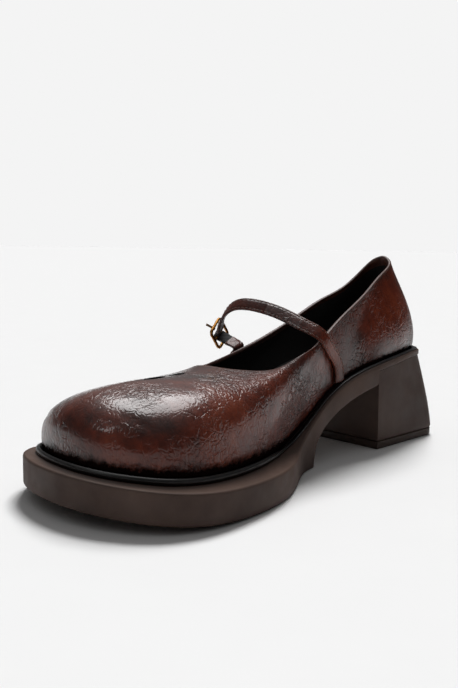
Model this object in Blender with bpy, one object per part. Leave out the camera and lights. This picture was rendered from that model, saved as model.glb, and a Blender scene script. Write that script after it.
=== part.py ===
# Block-heeled mary jane shoe for a right foot, standing empty on its sole and its heel.
# The toe points to -Y, the buckle side is -X, and the origin is the middle of the heel's base.

import math

import bpy
import numpy as np

MM = 0.001

# Driving sizes of the shoe
LENGTH = 259.0 * MM  # sole, back of the heel seat to the tip of the toe
BALL_WIDTH = 108.0 * MM  # widest breadth of the platform
HEEL_BASE_LENGTH = 62.0 * MM
HEEL_BASE_WIDTH = 56.0 * MM
BASE_CORNER = 9.5 * MM  # rounding of the heel base at the back
SEAT_INSET = 0.6 * MM  # step from the sole's edge in to the heel block
TOP_HEIGHT = 107.0 * MM  # topline at the back of the heel, above the floor
PLATFORM = 13.9 * MM  # side of the platform under the ball
TOE_SPRING = 6.5 * MM  # lift of the sole at the toe
SEAT_HEIGHT = 52.0 * MM  # top of the sole at the back
ARCH_HEIGHT = 36.6 * MM  # underside of the shank where it meets the heel
SEAT_THICK = 3.2 * MM  # sole left over the heel block
TIP_THICK = 4.4 * MM  # top piece under the heel block
WALL = 2.0 * MM  # upper with its lining
BEAD_WIDTH = 3.0 * MM
BEAD_HEIGHT = 3.4 * MM
INSOLE_THICK = 2.0 * MM
STRAP_WIDTH = 8.0 * MM
STRAP_THICK = 2.0 * MM
TAB_WIDTH = 7.4 * MM
TAB_THICK = 1.2 * MM
WIRE = 1.5 * MM  # buckle wire
BAR = 1.2 * MM  # middle bar of the buckle
PRONG = 1.3 * MM
FRAME_LONG = 12.6 * MM
FRAME_CLEAR = 2.2 * MM  # strap's edge to the middle of the buckle's wire
FRAME_WIDE = STRAP_WIDTH + 2 * FRAME_CLEAR
FRAME_CORNER = 2.0 * MM
GAP = 0.3 * MM  # air left between neighbours
HEEL_OVERHANG = 2.65 * MM  # sole behind the heel's base
SOLE_ROUND = 1.5 * MM  # lower edge of the sole, up its side
TOP_ROUND = 1.3 * MM  # upper edge of the sole, down its side
FLOOR_INSET = 1.3 * MM  # lower edge of the platform, in from its side
SEAT_ROUND = 0.5 * MM  # lower edge of the heel seat
TOP_INSETS = (0.3 * MM, 1.1 * MM)  # upper edge of the sole, in from its side
INSOLE_ROUND = 0.5 * MM
BLOCK_ROUND = 0.9 * MM  # lower edge of the heel block, up its side
BLOCK_INSET = 0.7 * MM  # lower edge of the heel block, in from its side
TIP_ROUND = 0.8 * MM
LIP = 0.35 * MM  # crown of the topline's folded edge
TAB_LIFT = (-1.2 * MM, -0.3 * MM, 2.6 * MM)  # tab's first step off the collar, across, along and up

BACK_Y = HEEL_BASE_LENGTH / 2 + HEEL_OVERHANG
BREAST = 0.2510  # share of the length where the heel block's front stands
ARCH_FRONT = 0.4648  # share of the length where the platform ends
SPRING_START = 0.68  # share of the length where the toe starts to lift
TAB_ALONG = 0.4570  # share of the length where the tab is sewn to the collar
FOLD_START = 108  # degrees round the middle bar where the tab's fold starts
FOLD_TURN = 215
HEEL_FRONT_Y = -HEEL_BASE_LENGTH / 2

# Edge of the sole seen from above: along from the back, half breadths in shares of the ball width
RIM_COLUMNS = ("along", "medial", "lateral")
RIM = (
    (0.000, 0.000, 0.000),
    (0.020, 0.127, 0.118),
    (0.050, 0.181, 0.174),
    (0.090, 0.214, 0.211),
    (0.160, 0.246, 0.248),
    (0.260, 0.256, 0.274),
    (0.350, 0.247, 0.303),
    (0.430, 0.247, 0.340),
    (0.500, 0.280, 0.372),
    (0.560, 0.362, 0.400),
    (0.630, 0.463, 0.428),
    (0.700, 0.517, 0.446),
    (0.780, 0.543, 0.454),
    (0.850, 0.535, 0.456),
    (0.910, 0.473, 0.430),
    (0.955, 0.356, 0.352),
    (0.985, 0.212, 0.222),
)
RIM_TIP = (1.000, 0.000)

# Top of the sole in shares of the seat height, ball to toe left out
TOP_COLUMNS = ("along", "height")
SOLE_TOP = (
    (0.000, 0.990),
    (0.090, 1.000),
    (0.160, 0.977),
    (0.262, 0.908),
    (0.300, 0.869),
    (0.344, 0.804),
    (0.390, 0.704),
    (0.430, 0.587),
    (0.460, 0.480),
    (0.500, 0.360),
    (0.540, 0.296),
    (0.580, 0.273),
    (0.620, PLATFORM / SEAT_HEIGHT),
    (1.000, PLATFORM / SEAT_HEIGHT),
)

# Underside of the shank in shares of the arch height
ARCH_COLUMNS = ("along", "height")
ARCH = (
    (0.2500, 1.000),
    (0.3090, 0.902),
    (0.3600, 0.776),
    (0.4050, 0.612),
    (0.4400, 0.429),
    (0.4580, 0.250),
    (0.4646, 0.060),
)

# Ledge outside the bead, in shares of the ball width
LEDGE_COLUMNS = ("along", "medial", "lateral")
LEDGE = (
    (0.000, 0.016, 0.016),
    (0.090, 0.008, 0.008),
    (0.260, 0.012, 0.012),
    (0.430, 0.014, 0.014),
    (0.500, 0.034, 0.018),
    (0.560, 0.070, 0.028),
    (0.630, 0.098, 0.040),
    (0.700, 0.106, 0.048),
    (0.850, 0.104, 0.048),
    (0.930, 0.090, 0.046),
    (1.000, 0.064, 0.064),
)

# Topline: along in shares of the length, across of the ball width, height of its height at the back
TOPLINE_COLUMNS = ("along", "across", "height")
TOPLINE = (
    (0.0970, 0.000, 1.000),
    (0.1040, 0.048, 0.990),
    (0.1196, 0.090, 0.964),
    (0.1776, 0.128, 0.903),
    (0.2660, 0.180, 0.808),
    (0.3745, 0.222, 0.694),
    (0.4590, 0.250, 0.596),
    (0.5290, 0.266, 0.549),
    (0.5910, 0.250, 0.507),
    (0.6290, 0.185, 0.505),
    (0.6486, 0.094, 0.508),
    (0.6544, 0.000, 0.510),
    (0.6486, -0.094, 0.497),
    (0.6255, -0.182, 0.471),
    (0.5750, -0.240, 0.464),
    (0.4940, -0.258, 0.500),
    (0.3510, -0.255, 0.607),
    (0.2740, -0.235, 0.692),
    (0.2160, -0.208, 0.761),
    (0.1620, -0.162, 0.825),
    (0.1196, -0.094, 0.936),
    (0.1040, -0.050, 0.984),
)

# Side of the upper, from the sole to the topline, along half of its lower edge
# bulge and puff in shares of the ball width, rise and drop of the height (of their own on the outer
# side), reach of the way to the topline
PROFILE_COLUMNS = (
    "along", "topline", "bulge", "reach", "puff", "rise", "drop", "outer_rise", "outer_drop",
)
PROFILE = (
    (0.00, 0.00, 0.046, 0.32, 0.000, 0.33, -0.25, 0.33, -0.25),
    (0.12, 0.07, 0.040, 0.32, 0.006, 0.34, -0.27, 0.34, -0.27),
    (0.27, 0.22, 0.028, 0.30, 0.014, 0.33, -0.30, 0.33, -0.30),
    (0.42, 0.42, 0.026, 0.30, 0.020, 0.33, -0.33, 0.33, -0.33),
    (0.55, 0.57, 0.045, 0.36, 0.020, 0.44, -0.25, 0.42, -0.26),
    (0.66, 0.70, 0.058, 0.38, 0.014, 0.58, -0.11, 0.50, -0.19),
    (0.76, 0.81, 0.064, 0.40, 0.006, 0.79, -0.06, 0.60, -0.20),
    (0.88, 0.92, 0.073, 0.44, 0.000, 1.12, -0.10, 1.00, -0.30),
    (1.00, 1.00, 0.075, 0.46, 0.000, 1.30, -0.21, 1.30, -0.21),
)

# Strap on the inner side: along in shares of the length, part of the way up the upper
STRAP_ON_SIDE = (
    (0.3715, 0.165),
    (0.3750, 0.27),
    (0.3830, 0.40),
    (0.3970, 0.56),
    (0.4150, 0.72),
    (0.4300, 0.85),
)

# Middle of the strap over the instep to the buckle: along, across and height as the topline table
STRAP_OVER = (
    (0.4480, 0.250, 0.646),
    (0.4570, 0.170, 0.672),
    (0.4630, 0.093, 0.706),
    (0.4720, 0.018, 0.735),
    (0.4840, -0.065, 0.757),
    (0.4910, -0.148, 0.765),
    (0.4930, -0.208, 0.760),
    (0.4930, -0.260, 0.738),
)

# Middle of the buckle, along, across and height as above, and the run of the strap's last rows from it
# in the buckle's own directions, up the strap and away from the foot
BUCKLE_AT = (0.4716, -0.380, 0.594)
STRAP_END = (
    (11.0 * MM, -6.4 * MM),
    (7.0 * MM, -4.0 * MM),
    (3.3 * MM, -1.9 * MM),
)

# Cut-outs in the vamp: along in shares of the length, breadth and length
CUTOUTS = (
    (0.7860, 5.0 * MM, 12.5 * MM),
    (0.7300, 5.0 * MM, 9.5 * MM),
)

# Cross section of the bead, outward and upward in shares of its width and height
BEAD_SHAPE = (
    (0.05, 0.00),
    (0.75, 0.00),
    (1.00, 0.25),
    (1.00, 0.62),
    (0.80, 0.95),
    (0.48, 1.00),
    (0.30, 0.70),
)

# Cross section of a strap, in shares of its width and thickness
BAND_SHAPE = (
    (-0.50, -0.15),
    (-0.46, -0.50),
    (0.46, -0.50),
    (0.50, -0.15),
    (0.50, 0.15),
    (0.46, 0.50),
    (-0.46, 0.50),
    (-0.50, 0.15),
)

STATIONS = 40
PROFILE_STEPS = 11
STRAP_STEPS = 48
TAB_STEPS = 40
HEEL_POINTS = 44


def column(table, names, name):
    """Smooth function of the first column that never overshoots the rows."""
    rows = np.array(table, float)
    x = rows[:, 0]
    y = rows[:, names.index(name)]
    h = np.diff(x)
    slope = np.diff(y) / h
    d = np.zeros(len(x))
    for i in range(1, len(x) - 1):
        if slope[i - 1] * slope[i] > 0:
            a = 2 * h[i] + h[i - 1]
            b = h[i] + 2 * h[i - 1]
            d[i] = (a + b) / (a / slope[i - 1] + b / slope[i])
    d[0] = slope[0]
    d[-1] = slope[-1]

    def value(at):
        at = np.clip(np.asarray(at, float), x[0], x[-1])
        i = np.clip(np.searchsorted(x, at) - 1, 0, len(h) - 1)
        t = (at - x[i]) / h[i]
        low = (1 + 2 * t) * (1 - t) ** 2 * y[i] + t * (1 - t) ** 2 * h[i] * d[i]
        high = t * t * (3 - 2 * t) * y[i + 1] + t * t * (t - 1) * h[i] * d[i + 1]
        return low + high

    return value


def closed_spline(points, count):
    """Count points evenly along the parameter of a closed cubic curve through the points."""
    p = np.array(points, float)
    n = len(p)
    h = np.linalg.norm(np.roll(p, -1, 0) - p, axis=1) ** 0.7
    matrix = np.zeros((n, n))
    right = np.zeros_like(p)
    for i in range(n):
        before = h[i - 1]
        after = h[i]
        matrix[i, i] = 2 * (before + after)
        matrix[i, i - 1] += after
        matrix[i, (i + 1) % n] += before
        rise = (p[i] - p[i - 1]) / before * after + (p[(i + 1) % n] - p[i]) / after * before
        right[i] = 3 * rise
    d = np.linalg.solve(matrix, right)
    knots = np.concatenate([[0], np.cumsum(h)])
    at = np.linspace(0, knots[-1], count, endpoint=False)
    i = np.clip(np.searchsorted(knots, at, side="right") - 1, 0, n - 1)
    t = ((at - knots[i]) / h[i])[:, None]
    step = h[i][:, None]
    j = (i + 1) % n
    low = (1 + 2 * t) * (1 - t) ** 2 * p[i] + t * (1 - t) ** 2 * step * d[i]
    high = t * t * (3 - 2 * t) * p[j] + t * t * (t - 1) * step * d[j]
    return low + high


def open_spline(points, count):
    """Count points evenly spaced along a smooth open curve."""
    p = np.array(points, float)
    first = 2 * p[0] - p[1]
    last = 2 * p[-1] - p[-2]
    q = np.vstack([first, p, last])
    dense = []
    for i in range(1, len(q) - 2):
        for t in np.linspace(0, 1, 24, endpoint=False):
            a = 2 * q[i]
            b = (q[i + 1] - q[i - 1]) * t
            c = (2 * q[i - 1] - 5 * q[i] + 4 * q[i + 1] - q[i + 2]) * t * t
            e = (3 * q[i] - q[i - 1] - 3 * q[i + 1] + q[i + 2]) * t ** 3
            dense.append((a + b + c + e) / 2)
    dense.append(p[-1])
    dense = np.array(dense)
    run = np.concatenate([[0], np.cumsum(np.linalg.norm(np.diff(dense, axis=0), axis=1))])
    at = np.linspace(0, run[-1], count)
    return np.stack([np.interp(at, run, dense[:, k]) for k in range(3)], 1)


def unit(v):
    return v / np.linalg.norm(v, axis=-1, keepdims=True)


def share_of(y):
    return (BACK_Y - y) / LENGTH


def y_of(share):
    return BACK_Y - share * LENGTH


def spring(share):
    rise = np.clip((share - SPRING_START) / (1 - SPRING_START), 0, 1.2)
    return TOE_SPRING * rise ** 2


top_height = column(SOLE_TOP, TOP_COLUMNS, "height")
arch_height = column(ARCH, ARCH_COLUMNS, "height")


def sole_top(share):
    return SEAT_HEIGHT * top_height(share) + spring(share)


def sole_under(share):
    """Underside: seat over the heel, arch of the shank, floor of the platform."""
    under = np.where(share > ARCH_FRONT, spring(share), ARCH_HEIGHT * arch_height(share))
    return np.where(share < BREAST, sole_top(share) - SEAT_THICK, under)


# Loop of the sole's edge: back, inner side, toe, outer side
medial_rows = [(m * BALL_WIDTH, y_of(s)) for s, m, _ in RIM[1:]]
lateral_rows = [(-l * BALL_WIDTH, y_of(s)) for s, _, l in reversed(RIM[1:])]
loop_rows = [(0.0, y_of(0.0))] + medial_rows
loop_rows += [(RIM_TIP[1] * BALL_WIDTH, y_of(RIM_TIP[0]))] + lateral_rows
DENSE = 40000
dense_edge = closed_spline(loop_rows, DENSE)
dense_ahead = unit(np.roll(dense_edge, -1, 0) - np.roll(dense_edge, 1, 0))
dense_out = np.stack([-dense_ahead[:, 1], dense_ahead[:, 0]], 1)
dense_out *= np.sign(np.sum((dense_edge - dense_edge.mean(0)) * dense_out))
back_at = int(dense_edge[:, 1].argmax())
tip_at = int(dense_edge[:, 1].argmin())


def station_shares():
    """Shares along the length where both sides have a point, close together at the two ends."""
    t = np.linspace(0, 1, STATIONS + 2)[1:-1]
    shares = 0.30 * t + 0.70 * (1 - np.cos(np.pi * t)) / 2
    fixed = [BREAST - 0.0004, BREAST + 0.0004, ARCH_FRONT - 0.0003, ARCH_FRONT + 0.0003]
    fixed += [0.350, 0.371, 0.392, 0.411, 0.430, 0.447, 0.483, 0.500, 0.518, 0.540, 0.562]
    kept = [s for s in shares if min(abs(s - f) for f in fixed) > 0.0085]
    return np.array(sorted(kept + fixed))


SHARES = station_shares()
KNOTS = np.concatenate([[0.0], SHARES, [1.0]])
KNOT_TOP = sole_top(KNOTS)


def floor_of_foot(share):
    """Top of the sole as built, straight between the stations."""
    return np.interp(share, KNOTS, KNOT_TOP)


def side_index(order, share):
    """Index on the dense edge where one side reaches the share."""
    shares = share_of(dense_edge[order, 1])
    reached = np.searchsorted(np.maximum.accumulate(shares), share)
    return order[np.clip(reached, 0, len(order) - 1)]


medial_order = np.arange(back_at, back_at + (tip_at - back_at) % DENSE + 1) % DENSE
lateral_order = np.arange(back_at, back_at - (back_at - tip_at) % DENSE - 1, -1) % DENSE
medial_at = side_index(medial_order, SHARES)
lateral_at = side_index(lateral_order, SHARES)
LOOP = np.concatenate([[back_at], medial_at, [tip_at], lateral_at[::-1]])
EDGE = dense_edge[LOOP]
OUT = dense_out[LOOP]
COUNT = len(LOOP)
HALF = len(SHARES)
EDGE_SHARE = share_of(EDGE[:, 1])
MEDIAL_SIDE = np.arange(COUNT) <= HALF + 1


def by_side(table, names):
    medial = column(table, names, "medial")(EDGE_SHARE)
    lateral = column(table, names, "lateral")(EDGE_SHARE)
    return np.where(MEDIAL_SIDE, medial, lateral)


LEDGE_IN = by_side(LEDGE, LEDGE_COLUMNS) * BALL_WIDTH
UPPER_IN = LEDGE_IN + BEAD_WIDTH + GAP


def ring(inset, height=None, above=0.0):
    """Loop of points inset from the sole's edge, on the sole's top unless a height is given."""
    flat = EDGE - OUT * np.reshape(inset * np.ones(COUNT), (-1, 1))
    if height is None:
        height = floor_of_foot(share_of(flat[:, 1])) + above
    return np.column_stack([flat, height * np.ones(COUNT)])


def material(name, colour, roughness, metallic=0.0):
    made = bpy.data.materials.new(name)
    made.use_nodes = True
    shader = made.node_tree.nodes["Principled BSDF"]
    shader.inputs["Base Color"].default_value = (*colour, 1.0)
    shader.inputs["Roughness"].default_value = roughness
    shader.inputs["Metallic"].default_value = metallic
    made.diffuse_color = (*colour, 1.0)
    return made


def solid(name, points, faces, made):
    mesh = bpy.data.meshes.new(name)
    corners = [tuple(map(float, p)) for p in points]
    mesh.from_pydata(corners, [], [tuple(map(int, f)) for f in faces])
    mesh.validate()
    obj = bpy.data.objects.new(name, mesh)
    bpy.context.scene.collection.objects.link(obj)
    mesh.materials.append(made)
    bpy.context.view_layer.objects.active = obj
    obj.select_set(True)
    bpy.ops.object.mode_set(mode="EDIT")
    bpy.ops.mesh.select_all(action="SELECT")
    bpy.ops.mesh.normals_make_consistent(inside=False)
    bpy.ops.object.mode_set(mode="OBJECT")
    bpy.ops.object.shade_smooth()
    mesh.set_sharp_from_angle(angle=math.radians(38))
    obj.select_set(False)
    return obj


def band(first, second, count):
    """Quads between two closed rings that start at the given vertex numbers."""
    return [
        (first + i, first + (i + 1) % count, second + (i + 1) % count, second + i)
        for i in range(count)
    ]


def ladder(start):
    """Faces across a ring of the sole's stations, rung by rung."""
    faces = [(start, start + 1, start + COUNT - 1)]
    for i in range(1, HALF):
        faces.append((start + i, start + i + 1, start + COUNT - i - 1, start + COUNT - i))
    faces.append((start + HALF, start + HALF + 1, start + HALF + 2))
    return faces


def layered(name, rings, made):
    """Solid of stacked rings closed by rungs at the first and the last one."""
    points = np.vstack(rings)
    faces = ladder(0)
    for k in range(len(rings) - 1):
        faces += band(k * COUNT, (k + 1) * COUNT, COUNT)
    faces += ladder((len(rings) - 1) * COUNT)
    return solid(name, points, faces, made)


def tube(name, rings, made, closed=False):
    """Solid of cross sections along a path, closed on itself or capped at both ends."""
    size = len(rings[0])
    points = np.vstack(rings)
    faces = []
    last = len(rings) if closed else len(rings) - 1
    for k in range(last):
        faces += band(k * size, ((k + 1) % len(rings)) * size, size)
    if not closed:
        faces.append(tuple(range(size)))
        faces.append(tuple((len(rings) - 1) * size + i for i in range(size)))
    return solid(name, points, faces, made)


for old in list(bpy.data.objects):
    bpy.data.objects.remove(old, do_unlink=True)

LEATHER = material("crinkled_patent_leather", (0.072, 0.018, 0.012), 0.22)
RUBBER = material("matte_brown_rubber", (0.030, 0.021, 0.017), 0.55)
BLACK = material("black_bead", (0.006, 0.005, 0.005), 0.25)
SOCK = material("black_sock", (0.010, 0.008, 0.008), 0.6)
BRASS = material("antique_brass", (0.33, 0.19, 0.07), 0.35, 1.0)

# Outsole: platform, shank and heel seat in one moulding
under = sole_under(EDGE_SHARE)
top = sole_top(EDGE_SHARE)
thick = top - under
low_edge = np.minimum(SOLE_ROUND, 0.3 * thick)
high_edge = np.minimum(TOP_ROUND, 0.3 * thick)
floor_inset = np.where(EDGE_SHARE < BREAST, SEAT_ROUND, FLOOR_INSET)
sole_rings = [
    np.column_stack([ring(floor_inset)[:, :2], under]),
    np.column_stack([ring(0.2 * floor_inset)[:, :2], under + 0.45 * low_edge]),
    np.column_stack([EDGE, under + low_edge]),
    np.column_stack([EDGE, top - high_edge]),
    np.column_stack([ring(TOP_INSETS[0])[:, :2], top - 0.35 * high_edge]),
    np.column_stack([ring(TOP_INSETS[1])[:, :2], top]),
]
layered("outsole", sole_rings, RUBBER)

# Insole lying inside the upper
insole_in = UPPER_IN + WALL + GAP
insole_rings = [
    ring(insole_in, above=GAP),
    ring(insole_in, above=GAP + INSOLE_THICK - INSOLE_ROUND),
    ring(insole_in + 1.2 * INSOLE_ROUND, above=GAP + INSOLE_THICK),
]
layered("insole", insole_rings, SOCK)

# Upper: one shell from the sole to the topline, open below and at the collar
foot = ring(UPPER_IN, above=GAP)
foot_step = np.linalg.norm(np.roll(foot, -1, 0) - foot, axis=1)
run = np.concatenate([[0], np.cumsum(foot_step)])
medial_run = run[HALF + 1]
lateral_run = run[-1] - medial_run
half_along = np.where(MEDIAL_SIDE, run[:-1] / medial_run, (run[-1] - run[:-1]) / lateral_run)

topline_rows = [(x * BALL_WIDTH, y_of(s), z * TOP_HEIGHT) for s, x, z in TOPLINE]
dense_top = closed_spline(topline_rows, DENSE)
top_step = np.linalg.norm(np.roll(dense_top, -1, 0) - dense_top, axis=1)
top_run = np.concatenate([[0], np.cumsum(top_step)])
throat_at = int(dense_top[:, 1].argmin())
profile = {n: column(PROFILE, PROFILE_COLUMNS, n)(half_along) for n in PROFILE_COLUMNS[1:]}
top_along = np.where(
    MEDIAL_SIDE,
    profile["topline"] * top_run[throat_at],
    top_run[-1] - profile["topline"] * (top_run[-1] - top_run[throat_at]),
)
wrapped = np.vstack([dense_top, dense_top[:1]])
collar = np.stack([np.interp(top_along, top_run, wrapped[:, k]) for k in range(3)], 1)

up = np.array([0.0, 0.0, 1.0])
out3 = np.column_stack([OUT, np.zeros(COUNT)])
height = (collar - foot)[:, 2:]
across = (foot - collar) * (1, 1, 0)
rise = np.where(MEDIAL_SIDE, profile["rise"], profile["outer_rise"])
drop = np.where(MEDIAL_SIDE, profile["drop"], profile["outer_drop"])
lower_pull = foot + out3 * profile["bulge"][:, None] * BALL_WIDTH + up * rise[:, None] * height
upper_pull = collar + across * profile["reach"][:, None]
upper_pull += out3 * profile["puff"][:, None] * BALL_WIDTH + up * drop[:, None] * height


def upper_row(t):
    return (
        (1 - t) ** 3 * foot
        + 3 * t * (1 - t) ** 2 * lower_pull
        + 3 * t * t * (1 - t) * upper_pull
        + t ** 3 * collar
    )


steps = np.linspace(0, 1, PROFILE_STEPS + 1)
outer = np.array([upper_row(t) for t in steps])
rise_dir = np.gradient(outer, axis=0)
loop_dir = np.roll(outer, -1, 1) - np.roll(outer, 1, 1)
normal = unit(np.cross(loop_dir, rise_dir))
normal *= np.sign(np.sum(normal[2] * out3))
inner = outer - normal * WALL
inner[0] = ring(UPPER_IN + WALL, above=GAP)
edge_mid = (outer[-1] + inner[-1]) / 2 + unit(rise_dir[-1]) * LIP
shell_rings = list(outer) + [edge_mid] + list(inner[::-1])
shell_points = np.vstack(shell_rings)
shell_faces = []
for k in range(len(shell_rings)):
    shell_faces += band(k * COUNT, ((k + 1) % len(shell_rings)) * COUNT, COUNT)
upper = solid("upper", shell_points, shell_faces, LEATHER)

# Welt: a bead lying on the ledge all round the upper
bead_rings = [
    ring(LEDGE_IN + BEAD_WIDTH * (1 - a), above=GAP + BEAD_HEIGHT * h) for a, h in BEAD_SHAPE
]
bead_points = np.vstack(bead_rings)
bead_faces = []
for k in range(len(bead_rings)):
    bead_faces += band(k * COUNT, ((k + 1) % len(bead_rings)) * COUNT, COUNT)
solid("welt", bead_points, bead_faces, BLACK)

# Heel block: round seat above, squarer base below, straight front
def even_points(line):
    """The heel's points spaced evenly along an open line seen from above."""
    run_line = np.concatenate([[0], np.cumsum(np.linalg.norm(np.diff(line, axis=0), axis=1))])
    at = np.linspace(0, run_line[-1], HEEL_POINTS)
    return np.stack([np.interp(at, run_line, line[:, k]) for k in range(2)], 1)


behind = EDGE_SHARE < BREAST
seat_loop = ring(SEAT_INSET)[:, :2]
seat_medial = seat_loop[:HALF + 2][behind[:HALF + 2]]
seat_lateral = seat_loop[HALF + 2:][behind[HALF + 2:]]
seat_edge = np.vstack([seat_lateral, seat_medial])
seat_edge = seat_edge[seat_edge[:, 1] > HEEL_FRONT_Y + SEAT_ROUND]
front_x = (seat_edge[0, 0], seat_edge[-1, 0])
seat_line = np.vstack([(front_x[0], HEEL_FRONT_Y), seat_edge, (front_x[1], HEEL_FRONT_Y)])
seat_ring = even_points(seat_line)

half = HEEL_BASE_WIDTH / 2
long_half = HEEL_BASE_LENGTH / 2
base_line = [(-half, -long_half)]
for corner_x, start in ((-half + BASE_CORNER, 180), (half - BASE_CORNER, 90)):
    for a in np.linspace(start, start - 90, 9):
        turn = math.radians(a)
        corner_y = long_half - BASE_CORNER
        x = corner_x + BASE_CORNER * math.cos(turn)
        base_line.append((x, corner_y + BASE_CORNER * math.sin(turn)))
base_line.append((half, -long_half))
base_ring = even_points(np.array(base_line))


def heel_ring(blend, inset, z):
    flat = base_ring * (1 - blend) + seat_ring * blend
    flat = flat * (1 - inset / half)
    return np.column_stack([flat, z * np.ones(HEEL_POINTS)])


seat_z = sole_top(share_of(seat_ring[:, 1])) - SEAT_THICK - GAP
block_low = TIP_THICK + GAP
block_rings = [
    heel_ring(0.0, BLOCK_INSET, block_low),
    heel_ring(0.0, 0.0, block_low + BLOCK_ROUND),
]
for part in (0.25, 0.5, 0.75, 1.0):
    z = block_low + (seat_z - block_low) * part
    block_rings.append(heel_ring(part ** 1.35, 0.0, z))
tube("heel_block", block_rings, RUBBER)
tip_rings = [
    heel_ring(0.0, 1.125 * TIP_ROUND, 0.0),
    heel_ring(0.0, 0.25 * TIP_ROUND, TIP_ROUND),
    heel_ring(0.0, 0.25 * TIP_ROUND, TIP_THICK - 0.75 * TIP_ROUND),
    heel_ring(0.0, TIP_ROUND, TIP_THICK),
]
tube("heel_tip", tip_rings, RUBBER)


def ribbon(name, path, widths, thick, lean, made):
    """Flat band swept along a path, its breadth lying as near as it can to the lean direction."""
    path = np.array(path)
    ahead = unit(np.gradient(path, axis=0))
    lean = np.array(lean, float) * np.ones((len(path), 1))
    wide = unit(lean - ahead * np.sum(lean * ahead, 1, keepdims=True))
    face = np.cross(ahead, wide)
    rings = []
    for i in range(len(path)):
        rows = [path[i] + wide[i] * a * widths[i] + face[i] * b * thick for a, b in BAND_SHAPE]
        rings.append(np.array(rows))
    return tube(name, rings, made)


def on_side(share, part, clear, medial=True):
    """Point off the outside of the upper, part of the way up, and the way along it."""
    level = part * PROFILE_STEPS
    low = int(min(level, PROFILE_STEPS - 1e-6))
    keep = slice(1, HALF + 1) if medial else slice(HALF + 2, COUNT)
    rows = outer[low:low + 2, keep]
    row = rows[0] + (rows[1] - rows[0]) * (level - low)
    order = np.argsort(-row[:, 1])
    at = -y_of(share)
    run_y = -row[order, 1]
    point = np.array([np.interp(at, run_y, row[order, k]) for k in range(3)])
    off = np.array([np.interp(at, run_y, normal[low, keep][order, k]) for k in range(3)])
    further = at + 1.5 * STRAP_THICK
    along = np.array([np.interp(further, run_y, row[order, k]) for k in range(3)]) - point
    return point + unit(off) * clear, unit(along)


def resample(rows, ways, count):
    """Even points on a smooth curve through the rows, with the ways interpolated along it."""
    rows = np.array(rows)
    path = open_spline(rows, count)
    run_rows = np.concatenate([[0], np.cumsum(np.linalg.norm(np.diff(rows, axis=0), axis=1))])
    at = np.linspace(0, run_rows[-1], count)
    ways = np.array(ways, float)
    return path, np.stack([np.interp(at, run_rows, ways[:, k]) for k in range(3)], 1)


# Buckle directions: along its bars, up the strap, and away from the foot
frame_side = unit(np.array([0.20, -0.74, -0.63]))
frame_up = np.array([0.09, -0.63, 0.77])
frame_up = unit(frame_up - frame_side * np.dot(frame_up, frame_side))
frame_out = np.cross(frame_side, frame_up)
FRAME_AT = np.array([BUCKLE_AT[1] * BALL_WIDTH, y_of(BUCKLE_AT[0]), BUCKLE_AT[2] * TOP_HEIGHT])


def frame_point(side, along, out=0.0):
    return FRAME_AT + frame_side * side + frame_up * along + frame_out * out


# Strap: from the bead on the inner side, over the instep, to the buckle on the outer side
strap_rows = []
strap_ways = []
for share, part in STRAP_ON_SIDE:
    point, way = on_side(share, part, STRAP_THICK / 2 + 1.6 * GAP)
    strap_rows.append(point)
    strap_ways.append(way)
for share, sideways, tall in STRAP_OVER:
    strap_rows.append((sideways * BALL_WIDTH, y_of(share), tall * TOP_HEIGHT))
    strap_ways.append((0.0, -0.60, -0.80))
for along, out in STRAP_END:
    strap_rows.append(frame_point(0.0, along, out))
    strap_ways.append(frame_side)
strap_path, strap_lean = resample(strap_rows, strap_ways, STRAP_STEPS)
ribbon("strap", strap_path, np.full(STRAP_STEPS, STRAP_WIDTH), STRAP_THICK, strap_lean, LEATHER)


def wire(name, path, radius, made, closed, sides=8):
    """Round wire along a path that lies in the plane of the buckle."""
    path = np.array(path)
    if closed:
        ahead = unit(np.roll(path, -1, 0) - np.roll(path, 1, 0))
    else:
        ahead = unit(np.gradient(path, axis=0))
    rings = []
    for i in range(len(path)):
        a = unit(np.cross(ahead[i], frame_out))
        b = np.cross(ahead[i], a)
        turns = np.arange(sides) * 2 * math.pi / sides
        rows = [path[i] + radius * (a * math.cos(q) + b * math.sin(q)) for q in turns]
        rings.append(np.array(rows))
    return tube(name, rings, made, closed)


frame_path = []
for corner_side, corner_up, start in ((1, 1, 0), (-1, 1, 90), (-1, -1, 180), (1, -1, 270)):
    for angle in np.linspace(start, start + 90, 6):
        turn = math.radians(angle)
        side = corner_side * (FRAME_WIDE / 2 - FRAME_CORNER) + FRAME_CORNER * math.cos(turn)
        along = corner_up * (FRAME_LONG / 2 - FRAME_CORNER) + FRAME_CORNER * math.sin(turn)
        frame_path.append(frame_point(side, along))
buckle = wire("buckle_frame", frame_path, WIRE / 2, BRASS, True)
bar_reach = FRAME_WIDE / 2 - 0.1 * WIRE
bar_path = [frame_point(-bar_reach, 0.0), frame_point(bar_reach, 0.0)]
bar = wire("centre_bar", bar_path, BAR / 2, BRASS, False)
bar.hide_render = True
bar.display_type = "WIRE"
joined = buckle.modifiers.new("centre_bar", "BOOLEAN")
joined.operation = "UNION"
joined.solver = "EXACT"
joined.object = bar

# Prong: pin that stands off the fold of the tab and over the upper bar
fold = BAR / 2 + 1.8 * GAP + TAB_THICK / 2
prong_foot = fold + TAB_THICK / 2 + GAP + PRONG / 2
prong_path = [
    frame_point(0.0, 0.86 * prong_foot, 0.52 * prong_foot),
    frame_point(0.0, 0.36 * FRAME_LONG, 0.26 * FRAME_LONG),
    frame_point(0.0, 0.54 * FRAME_LONG, 0.46 * FRAME_LONG),
]
wire("buckle_prong", prong_path, PRONG / 2, BRASS, False)

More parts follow.
